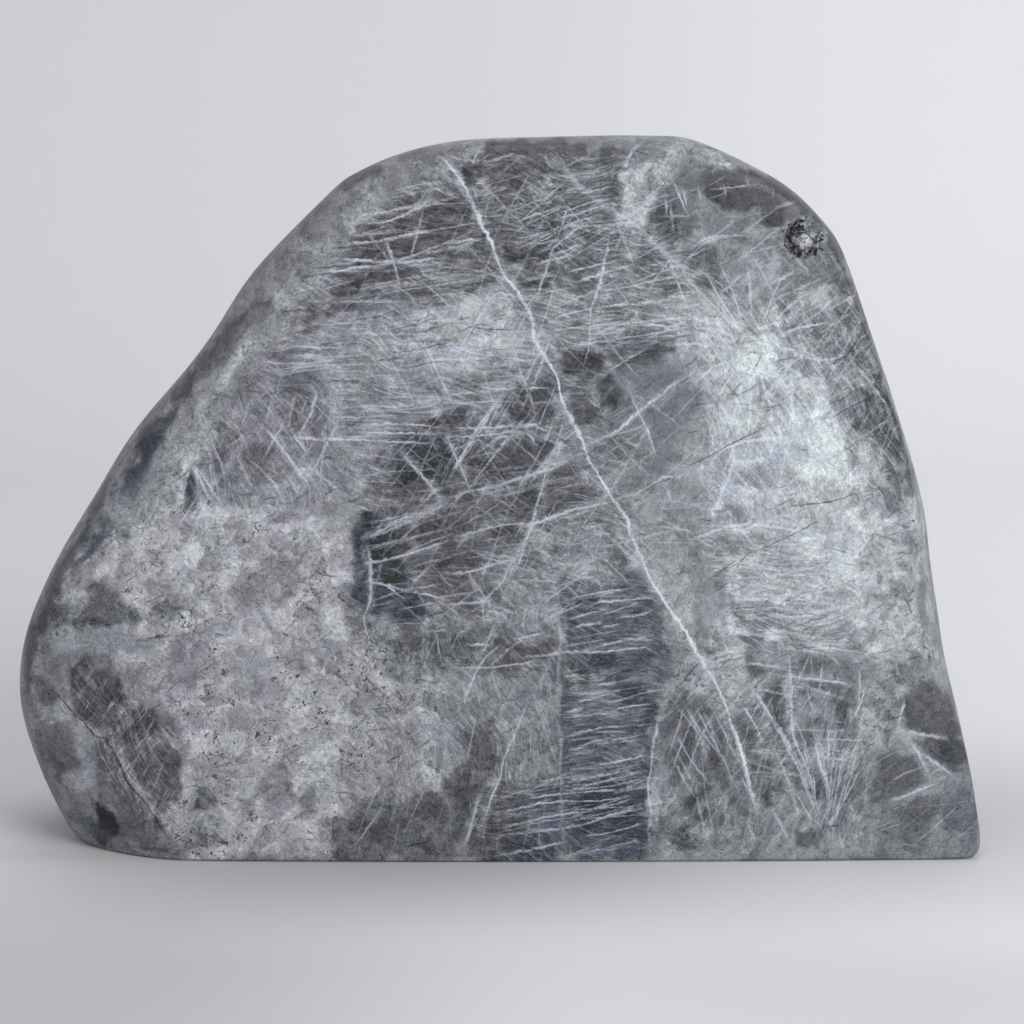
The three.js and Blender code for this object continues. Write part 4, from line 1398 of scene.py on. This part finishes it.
def mineralMix(places):
    spots = places[:, [0, 2]]
    flat = np.column_stack([spots, np.zeros(len(spots))])
    size, seeds = mixLook["sway"]
    sway = np.column_stack([ripples(flat, size, seed, 4) for seed in seeds]) * mixLook["swayReach"]
    swayed = spots + sway
    crumble = ripples(flat, *mixLook["crumble"], 2)
    face = np.tile(np.array(minerals["ground"], dtype=float), (len(places), 1))
    runs = np.zeros((len(places), 3))
    for (name, amount, soft), path in rowsOf("".join(patches.values())):
        path = pathOnStone(path)
        laidOver(face, minerals[name], swayed, crumble, path, float(soft) * onePixel, float(amount))
    drift = smoothStep(*mixLook["drift"], spots[:, 0])
    face[:, 1] += mixLook["driftBlue"] * drift
    face[:, 3] += mixLook["driftGreen"] * drift
    slight = spots + sway * mixLook["ribbonSway"]
    for (name, *values), path in rowsOf(ribbons):
        amount, half, soft = map(float, values)
        path = pathOnStone(path)
        laidOver(face, minerals[name], slight, crumble, path, soft * onePixel, amount, half * onePixel)
    for over, soft, text in grainRuns:
        laidOver(runs, over, swayed, crumble, pathOnStone(text), soft * onePixel, 1)

    dice = np.random.default_rng(deepPatches["seed"])
    count = deepPatches["count"]
    squash = (1, deepPatches["flatten"], 1)
    seeds = dice.uniform(deepPatches["low"], deepPatches["high"], (count, 3)) * squash
    kinds = np.array([minerals[name] for name in dice.choice(deepPatches["kinds"], count)])
    courses = dice.dirichlet((0.5, 0.5, 0.5), count)
    size, seedsOfSway, reach = mixLook["deepSway"]
    swayed = places + np.column_stack([ripples(places, size, seed) for seed in seedsOfSway]) * reach
    far = np.linalg.norm((swayed * squash)[:, None] - seeds, axis=2)
    two = np.argpartition(far, 1, axis=1)[:, :2]
    near, second = np.take_along_axis(far, two, 1).T
    share = (0.5 + 0.5 * smoothStep(0, mixLook["deepRim"], second - near))[:, None]
    deep = kinds[two[:, 0]] * share + kinds[two[:, 1]] * (1 - share)
    deepRuns = courses[two[:, 0]] * share + courses[two[:, 1]] * (1 - share)
    shallow = (1 - smoothStep(*mixLook["faceEnd"], behindFace(places)))[:, None]
    return face * shallow + deep * (1 - shallow), runs * shallow + deepRuns * (1 - shallow)


# Fine relief

relief = {
    "wave": (0.14, 28),  # height and width of the polished face's slow waves
    "waveSeed": 71,
    "pitSpots": ((803.5, 239.5), (805.5, 241)),  # image pixels: the pocket's middle and its pale core's
    "pitRing": 4.3,
    "pitDeep": 1.7,
    "pitCore": 2.2,
    "pitCoreRise": 1.3,
    "rubble": (1.1, 85),  # width and seed of the lumps in the pocket, and how high they stand
    "rubbleRise": (0.5, 0.3),
    "uneven": (2.2, 81),  # and of the waves in its rim
    "baseFade": (0.2, 3),  # heights between which the relief starts, as the base stays flat
}


def workRelief(body):
    body.normal_update()
    verts = list(body.verts)
    places = np.array([v.co for v in verts]) / mm
    normals = np.array([v.normal for v in verts])
    high, wide = relief["wave"]
    lift = ripples(places, wide, relief["waveSeed"], 2) * high
    behind = np.where(places[:, 1] < 0, 0, 20)  # keeps the pocket off the back
    ring, core = (np.hypot(*(places[:, [0, 2]] - onStone(*spot)).T) + behind for spot in relief["pitSpots"])
    rough = ripples(places, *relief["rubble"], 3)
    uneven = ripples(places, *relief["uneven"], 2) * 0.5
    hollow = 1 - smoothStep(relief["pitRing"] - 1, relief["pitRing"] + 0.4, ring + uneven)
    knob = 1 - smoothStep(relief["pitCore"] - 0.9, relief["pitCore"] + 0.5, core + uneven)
    inHollow, onKnob = relief["rubbleRise"]
    lift += hollow * (inHollow * rough - relief["pitDeep"])
    lift += knob * (onKnob * rough + relief["pitCoreRise"])
    above = smoothStep(*relief["baseFade"], places[:, 2])
    moved = places + normals * (lift * above)[:, None]
    for vertex, place in zip(verts, moved):
        vertex.co = Vector(place * mm)
    return ring, core


def storeVectors(mesh, name, values, domain):
    made = mesh.attributes.new(name, "FLOAT_VECTOR", domain)
    made.data.foreach_set("vector", np.ascontiguousarray(values, dtype=np.float32).ravel())


def buildStone():
    body = stoneSkin(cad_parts[shape["node"]])
    ring, core = workRelief(body)
    for face in body.faces:
        face.smooth = True
    mesh = bpy.data.meshes.new("labradoriteStone")
    body.to_mesh(mesh)
    body.free()
    triangles = sum(len(face.vertices) - 2 for face in mesh.polygons)
    print("skin has", len(mesh.vertices), "points and", triangles, "triangles")
    across, shows = lineMarks(allLines(), mesh)
    for turn in range(lineLook["slots"] // 3):
        storeVectors(mesh, f"lineAcross{turn}", across[:, turn * 3:turn * 3 + 3], "CORNER")
        storeVectors(mesh, f"lineShow{turn}", shows[:, turn * 3:turn * 3 + 3], "CORNER")
    places = vertexPlaces(mesh)
    mix, runs = mineralMix(places)
    storeVectors(mesh, "mineral", mix[:, [0, 4, 5]] * (1 / 255, 1, 1), "POINT")
    storeVectors(mesh, "hue", mix[:, 1:4], "POINT")
    storeVectors(mesh, "course", runs * mix[:, 6:7], "POINT")
    storeVectors(mesh, "pocket", np.column_stack([ring, core, ring * 0]).clip(0, 20), "POINT")
    stone = bpy.data.objects.new("labradoriteStone", mesh)
    bpy.context.scene.collection.objects.link(stone)
    return stone


# Materials

class Wire:  # one socket of a material, with sums written as sums
    def __init__(self, recipe, socket):
        self.recipe = recipe
        self.socket = socket

    def maths(self, operation, *values):
        inputs = dict(enumerate(values))
        return self.recipe.node("ShaderNodeMath", {"operation": operation}, inputs)

    def __add__(self, other):
        return self.maths("ADD", self, other)

    def __radd__(self, other):
        return self.maths("ADD", other, self)

    def __sub__(self, other):
        return self.maths("SUBTRACT", self, other)

    def __rsub__(self, other):
        return self.maths("SUBTRACT", other, self)

    def __mul__(self, other):
        return self.maths("MULTIPLY", self, other)

    def __rmul__(self, other):
        return self.maths("MULTIPLY", other, self)

    def __pow__(self, other):
        return self.maths("POWER", self, other)

    def __neg__(self):
        return self.maths("MULTIPLY", self, -1)

    def __abs__(self):
        return self.maths("ABSOLUTE", self)

    def over(self, other):
        return self.maths("MAXIMUM", self, other)

    def held(self):  # kept between nought and one
        return self.recipe.node("ShaderNodeClamp", {}, {"Value": self})

    def step(self, low, high, start=0, end=1):  # a smooth step from start to end
        inputs = {"Value": self, "From Min": low, "From Max": high, "To Min": start, "To Max": end}
        return self.recipe.node("ShaderNodeMapRange", {"interpolation_type": "SMOOTHSTEP"}, inputs)

    def part(self, axis):
        return self.recipe.node("ShaderNodeSeparateXYZ", {}, {0: self}, axis)

    def twin(self, name):  # another output of the same node
        return Wire(self.recipe, self.socket.node.outputs[name])


class Recipe:  # one material's nodes
    def __init__(self, name):
        self.material = bpy.data.materials.new(name)
        self.material.use_nodes = True
        self.tree = self.material.node_tree
        self.surface = self.tree.nodes["Principled BSDF"]

    def node(self, kind, settings=None, inputs=None, output=0):
        made = self.tree.nodes.new(kind)
        for key, value in (settings or {}).items():
            setattr(made, key, value)
        for key, value in (inputs or {}).items():
            self.join(value, made.inputs[key])
        return Wire(self, made.outputs[output])

    def join(self, value, socket):
        if isinstance(value, Wire):
            self.tree.links.new(value.socket, socket)
        else:
            socket.default_value = value

    def attribute(self, name):
        return self.node("ShaderNodeAttribute", {"attribute_name": name}, {}, "Vector")

    def millimetres(self):  # where a point is on its object
        metres = self.node("ShaderNodeTexCoord", {}, {}, "Object")
        return self.node("ShaderNodeVectorMath", {"operation": "SCALE"}, {0: metres, "Scale": 1 / mm})

    def dragged(self, place, drift, reach):  # place moved by up to half of reach, as a noise's colour says
        inputs = {0: drift, 1: (reach, reach, reach), 2: place}
        return self.node("ShaderNodeVectorMath", {"operation": "MULTIPLY_ADD"}, inputs)

    def blend(self, share, under, over):  # colours mixed by share
        return self.node("ShaderNodeMix", {"data_type": "RGBA"}, {0: share, 6: under, 7: over}, 2)

    def slide(self, share, under, over):  # numbers mixed by share
        return self.node("ShaderNodeMix", {"data_type": "FLOAT"}, {0: share, 2: under, 3: over}, 0)

    def noise(self, place, size, detail=2, rough=0.5, twist=0):
        inputs = {"Vector": place, "Scale": 1 / size, "Detail": detail, "Roughness": rough}
        return self.node("ShaderNodeTexNoise", {}, inputs | {"Distortion": twist})

    def ridges(self, place, size, middle, reach, *ends, detail=1, rough=0.5):  # thin curved lines
        return abs(self.noise(place, size, detail, rough) - middle).step(*reach, *ends)

    def crystals(self, place, size):
        return self.node("ShaderNodeTexVoronoi", {}, {"Vector": place, "Scale": 1 / size}, "Color")


def onScreen(channel):  # a screen value from 0 to 255, as shader light
    share = channel / 255
    return share / 12.92 if share <= 0.04 else ((share + 0.055) / 1.055) ** 2.4


stoneLook = {
    "exposure": 1.08,  # shader brightness of a tone seen on screen
    "glare": 0.03,  # what the polish adds to it
    "plain": (0.985, 0.998, 1.068, 1),
    "blue": (0.885, 0.99, 1.21, 1),
    "deepBlue": (0.8, 0.985, 1.42, 1),
    "violet": (1.02, 0.955, 1.13, 1),
    "green": (0.92, 1.0, 1.035, 1),
    "vein": 219,
    "crack": 50,
    "speck": 58,
    "pitBlack": 46,
    "pitCore": 170,
    "gloss": 0.42,  # roughness of the plain polish
    "bump": 0.25,
    "bumpDepth": 0.15,
    "ior": 1.56,
    "specular": 0.4,
}
patternSizes = {  # in millimetres
    "patch": 6,
    "slack": 14,
    "grain": 1.5,
    "fine": 0.5,
    "wrinkle": 2.4,
    "curl": 1.6,
    "crystal": 5.5,
    "chip": 2.1,
    "band": 1.4,
    "lens": 2.3,
    "hair": 1.0,
    "chain": 2.0,
}
bends = {"patch": 8, "slack": 9}  # how far those two drag the finer patterns about
contrast = {  # how much each pattern lightens, everywhere and then more where the mineral is grainy
    "patch": (0.14, -0.1),
    "lens": (0, -0.1),
    "grain": (0.08, 0.2),
    "fine": (0.225, 0.03),
    "crystal": (0.03, 0.12),
    "chip": (0.03, 0.06),
    "curl": (0.02, 0.06),
    "wrinkle": (-0.04, -0.1),
}
streakLook = {
    "leans": (-10, 60, -62),  # degrees: level, falling and rising grain
    "stretch": (0.16, 0.3, 1),
    "band": 0.22,
    "ridge": 0.17,
}
lineEdge = {
    "sway": 3.5,  # how far grain and then fine noise push a line's edge about
    "ragged": 1.6,
    "fade": (0.25, 1.25),
    "broken": (-0.25, 0.12, 0.5, 1),  # gaps in lines, which the strongest are free of
    "strong": (0.86, 0.98),
}
pitLook = {"hole": (2.6, 3.2, 1, 0), "soot": (3.4, 3.8, 1, 0), "core": (1.9, 2.4, 1, 0)}


def stoneMaterial():
    recipe = Recipe("polishedLabradorite")
    shade = {name: stoneLook[name] / 255 for name in ("vein", "crack", "speck", "pitBlack", "pitCore")}
    place = recipe.millimetres()
    fieldNames = ("mineral", "hue", "course", "pocket")
    mineral, hue, course, pocket = (recipe.attribute(name) for name in fieldNames)
    lightness, grainy, specked = (mineral.part(axis) for axis in range(3))
    patch = recipe.noise(place, patternSizes["patch"], 3, 0.6, 0.4)
    drift = patch.twin("Color")
    patch = patch - 0.5
    bent = recipe.dragged(place, drift, bends["patch"])
    ease = recipe.noise(place, patternSizes["slack"], 0).twin("Color")
    slack = recipe.dragged(place, ease, bends["slack"])
    grain = recipe.noise(place, patternSizes["grain"], 3, 0.6) - 0.5
    fine = recipe.noise(place, patternSizes["fine"], 2, 0.6) - 0.5
    wrinkle = recipe.ridges(bent, patternSizes["wrinkle"], 0.5, (0, 0.03), 1, 0, detail=2, rough=0.6)
    curl = recipe.ridges(bent, patternSizes["curl"], 0.47, (0, 0.05), 1, 0, detail=2, rough=0.6)
    crystal = recipe.crystals(bent, patternSizes["crystal"])
    chip = recipe.crystals(bent, patternSizes["chip"])
    lens = (patch + grain * 0.3).step(-0.01, 0.05)
    calm = 1.15 - lens * (0.25 + 0.45 * grainy)
    crowd = drift.part(1).step(0.5, 0.56)

    # streaks along the grain
    streaks = 0
    for axis, lean in enumerate(streakLook["leans"]):
        turn = {"Vector": slack, "Angle": math.radians(lean)}
        turned = recipe.node("ShaderNodeVectorRotate", {"rotation_type": "Y_AXIS"}, turn)
        stretch = {0: turned, 1: streakLook["stretch"]}
        wide = recipe.node("ShaderNodeVectorMath", {"operation": "MULTIPLY"}, stretch)
        bands = recipe.noise(wide, patternSizes["band"], 3, 0.6) - 0.5
        lenses = recipe.ridges(wide, patternSizes["lens"], 0.5, (0, 0.07), 0.7, -0.3)
        hairs = recipe.ridges(wide, patternSizes["hair"], 0.48, (0, 0.07), 0.7, -0.3)
        streak = bands * streakLook["band"] + (lenses + hairs) * streakLook["ridge"]
        streaks = streak * course.part(axis) + streaks

    fields = {
        "patch": patch,
        "lens": lens - 0.45,
        "grain": grain * calm,
        "fine": fine * calm,
        "crystal": crystal.part(0) - 0.5,
        "chip": chip.part(0) - 0.5,
        "curl": curl - 0.2,
        "wrinkle": wrinkle - 0.1,
    }
    light = lightness + streaks
    for name, field in fields.items():
        everywhere, more = contrast[name]
        light = light + field * (everywhere + more * grainy)

    # lines
    sway = grain * lineEdge["sway"]
    ragged = fine * lineEdge["ragged"]
    broken = (patch + grain + fine * 1.5).step(*lineEdge["broken"])
    pale, black = 0, 0
    for turn in range(lineLook["slots"] // 3):
        across = recipe.attribute(f"lineAcross{turn}")
        show = recipe.attribute(f"lineShow{turn}")
        for axis in range(3):
            body = (abs(across.part(axis) + sway) + ragged).step(*lineEdge["fade"], 1, 0)
            mark = body * show.part(axis)
            pale = mark.over(pale)
            black = (-mark).over(black)
    pale = (pale * broken.over(pale.step(*lineEdge["strong"]))).held()
    black = (black * broken).held()

    # specks, and the pocket's soot and pale core
    chain = recipe.ridges(bent, patternSizes["chain"], 0.52, (0.025, 0.06), 1, 0)
    specks = chain * (fine * 0.6 + grain).step(0.0, 0.07) * crowd * (specked * 2).held() * 0.85
    ring = pocket.part(0) + grain * 9 + fine * 3
    hole = ring.step(*pitLook["hole"])
    soot = (ring + grain * 7).step(*pitLook["soot"])
    core = (pocket.part(1) + grain * 6 + fine * 3).step(*pitLook["core"])
    light = recipe.slide(pale, light, shade["vein"])
    light = recipe.slide(specks, light, shade["speck"])
    light = recipe.slide(black, light, shade["crack"])
    light = recipe.slide(soot.over(hole) * 0.9, light, shade["pitBlack"] + fine * 1.6 + grain * 0.9)
    light = recipe.slide(core, light, shade["pitCore"] + fine * 1.2 + grain * 0.9)

    # tint: each share of a colour is laid over those before it
    bluish, violet, greenish = (hue.part(axis) for axis in range(3))
    tinge = (crystal.part(1) - 0.5) * 0.4 + (lens - 0.5) * grainy * 0.35
    dusky = (light.step(0.3, 0.48, 0.7, 0) - bluish).held()
    tint = stoneLook["plain"]
    for share, colour in (
        (bluish + patch * 0.3 + tinge, "blue"),
        (violet + patch * 0.4 + dusky, "violet"),
        (greenish - patch * 0.3 - tinge, "green"),
        (light.step(0.3, 0.5, 1, 0) * bluish.held(), "deepBlue"),
        (pale * pale * 0.8, "plain"),
        (pale * (1.05 - pale) * 1.3, "blue"),
        (hole, "plain"),
        (core, "violet"),
    ):
        tint = recipe.blend(share.held(), tint, stoneLook[colour])
    level = (light.over(0.1) ** 2.2 * stoneLook["exposure"] - stoneLook["glare"]).over(0.004)
    colour = recipe.node("ShaderNodeVectorMath", {"operation": "SCALE"}, {0: tint, "Scale": level})

    surface = recipe.surface
    recipe.join(colour, surface.inputs["Base Color"])
    rough = stoneLook["gloss"] + 0.08 * grainy + grain * 0.12 + 0.3 * black + 0.3 * hole
    recipe.join(rough.held(), surface.inputs["Roughness"])
    relievo = {
        "Height": grain * 0.3 + fine * 0.2 - black * 0.8,
        "Strength": stoneLook["bump"],
        "Distance": stoneLook["bumpDepth"] * mm,
    }
    recipe.join(recipe.node("ShaderNodeBump", {}, relievo, "Normal"), surface.inputs["Normal"])
    surface.inputs["IOR"].default_value = stoneLook["ior"]
    surface.inputs["Specular IOR Level"].default_value = stoneLook["specular"]
    return recipe.material


stone = buildStone()
stone.data.materials.append(stoneMaterial())
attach(stone, "root")
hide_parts(shape["node"])
print("stone built")


# Floor, backdrop and light

studio = {
    "front": -1800,
    "wallFoot": 500,
    "bend": 350,  # radius of the curve from the floor up into the wall
    "bendSteps": 12,
    "width": 5000,
    "height": 2600,
    "tone": (216, 217, 220),
    "rough": 0.9,
    "specular": 0.1,
    "ambient": 0.42,
}
# painted shade and light on the floor: how much darker each area is, lighter below nought, and the ramps
# across (0) and along (1) the floor that bound it; foot and behind are painted shadows of the stone, left
# and near painted shade, right painted light
paintedFloorShade = {
    "left": (0.25, [(0, -90, 30, 1, 0), (1, -110, -20, 1, 0)]),
    "foot": (0.38, [(0, -160, -50, 0, 1), (0, -30, 90, 1, 0.4), (1, -95, -36, 0, 1), (1, -30, 60, 1, 0)]),
    "right": (-0.1, [(0, -50, 250, 0, 1)]),
    "behind": (0.16, [(0, 70, 140, 0, 1), (1, -50, 10, 0, 1), (1, 20, 110, 1, 0)]),
    "near": (0.12, [(0, 0, 110, 0, 1), (1, -120, -70, 1, 0)]),
}
lamps = {  # where each hangs, what it points at, its width and height, and its power
    "keyLight": ((850, -1050, 850), (0, 0, 80), (900, 900), 15),
    "fillLight": ((-700, -1100, 900), (0, 0, 80), (900, 900), 2.5),
    "wallLight": ((400, 100, 1500), (400, 850, 500), (1500, 500), 6),
}


def floorMaterial():
    recipe = Recipe("paleFloorPaintedShade")
    place = recipe.millimetres()
    axes = (place.part(0), place.part(1))
    share = 1
    # each area's painted shade or painted light darkens or lightens the floor's colour
    for paintedDarkening, ramps in paintedFloorShade.values():
        area = paintedDarkening
        for axis, *ramp in ramps:
            area = area * axes[axis].step(*ramp)
        share = share * (1 - area)
    tone = tuple(onScreen(channel) for channel in studio["tone"])
    colour = recipe.node("ShaderNodeVectorMath", {"operation": "SCALE"}, {0: tone, "Scale": share})
    recipe.join(colour, recipe.surface.inputs["Base Color"])
    recipe.surface.inputs["Roughness"].default_value = studio["rough"]
    recipe.surface.inputs["Specular IOR Level"].default_value = studio["specular"]
    return recipe.material


def buildFloor():  # a strip seen from the side, drawn out to the full width
    body = bmesh.new()
    bend = studio["bend"]
    profile = [(studio["front"], 0), (studio["wallFoot"], 0)]
    for turn in range(1, studio["bendSteps"] + 1):
        angle = math.pi / 2 * turn / studio["bendSteps"]
        profile.append((studio["wallFoot"] + bend * math.sin(angle), bend * (1 - math.cos(angle))))
    profile.append((studio["wallFoot"] + bend, studio["height"]))
    half = studio["width"] / 2
    left = [body.verts.new((-half * mm, y * mm, z * mm)) for y, z in profile]
    edges = [body.edges.new(pair) for pair in zip(left, left[1:])]
    made = bmesh.ops.extrude_edge_only(body, edges=edges)["geom"]
    moved = [item for item in made if isinstance(item, bmesh.types.BMVert)]
    bmesh.ops.translate(body, verts=moved, vec=(studio["width"] * mm, 0, 0))
    bmesh.ops.recalc_face_normals(body, faces=body.faces)
    for face in body.faces:
        face.smooth = True
    mesh = bpy.data.meshes.new("studioFloor")
    body.to_mesh(mesh)
    body.free()
    mesh.materials.append(floorMaterial())
    floor = bpy.data.objects.new("studioFloor", mesh)
    bpy.context.scene.collection.objects.link(floor)


def softLight(name, place, aim, size, power):
    data = bpy.data.lights.new(name, "AREA")
    data.shape = "RECTANGLE"
    data.size, data.size_y = size[0] * mm, size[1] * mm
    data.energy = power
    made = bpy.data.objects.new(name, data)
    made.location = Vector(place) * mm
    made.rotation_euler = (Vector(aim) - Vector(place)).to_track_quat("-Z", "Y").to_euler()
    bpy.context.scene.collection.objects.link(made)


buildFloor()
for name, values in lamps.items():
    softLight(name, *values)
world = bpy.data.worlds.new("studioAir")
world.use_nodes = True
world.node_tree.nodes["Background"].inputs["Color"].default_value = (1, 1, 1, 1)
world.node_tree.nodes["Background"].inputs["Strength"].default_value = studio["ambient"]
bpy.context.scene.world = world
bpy.context.scene.view_settings.view_transform = "Standard"
print("stage lit")
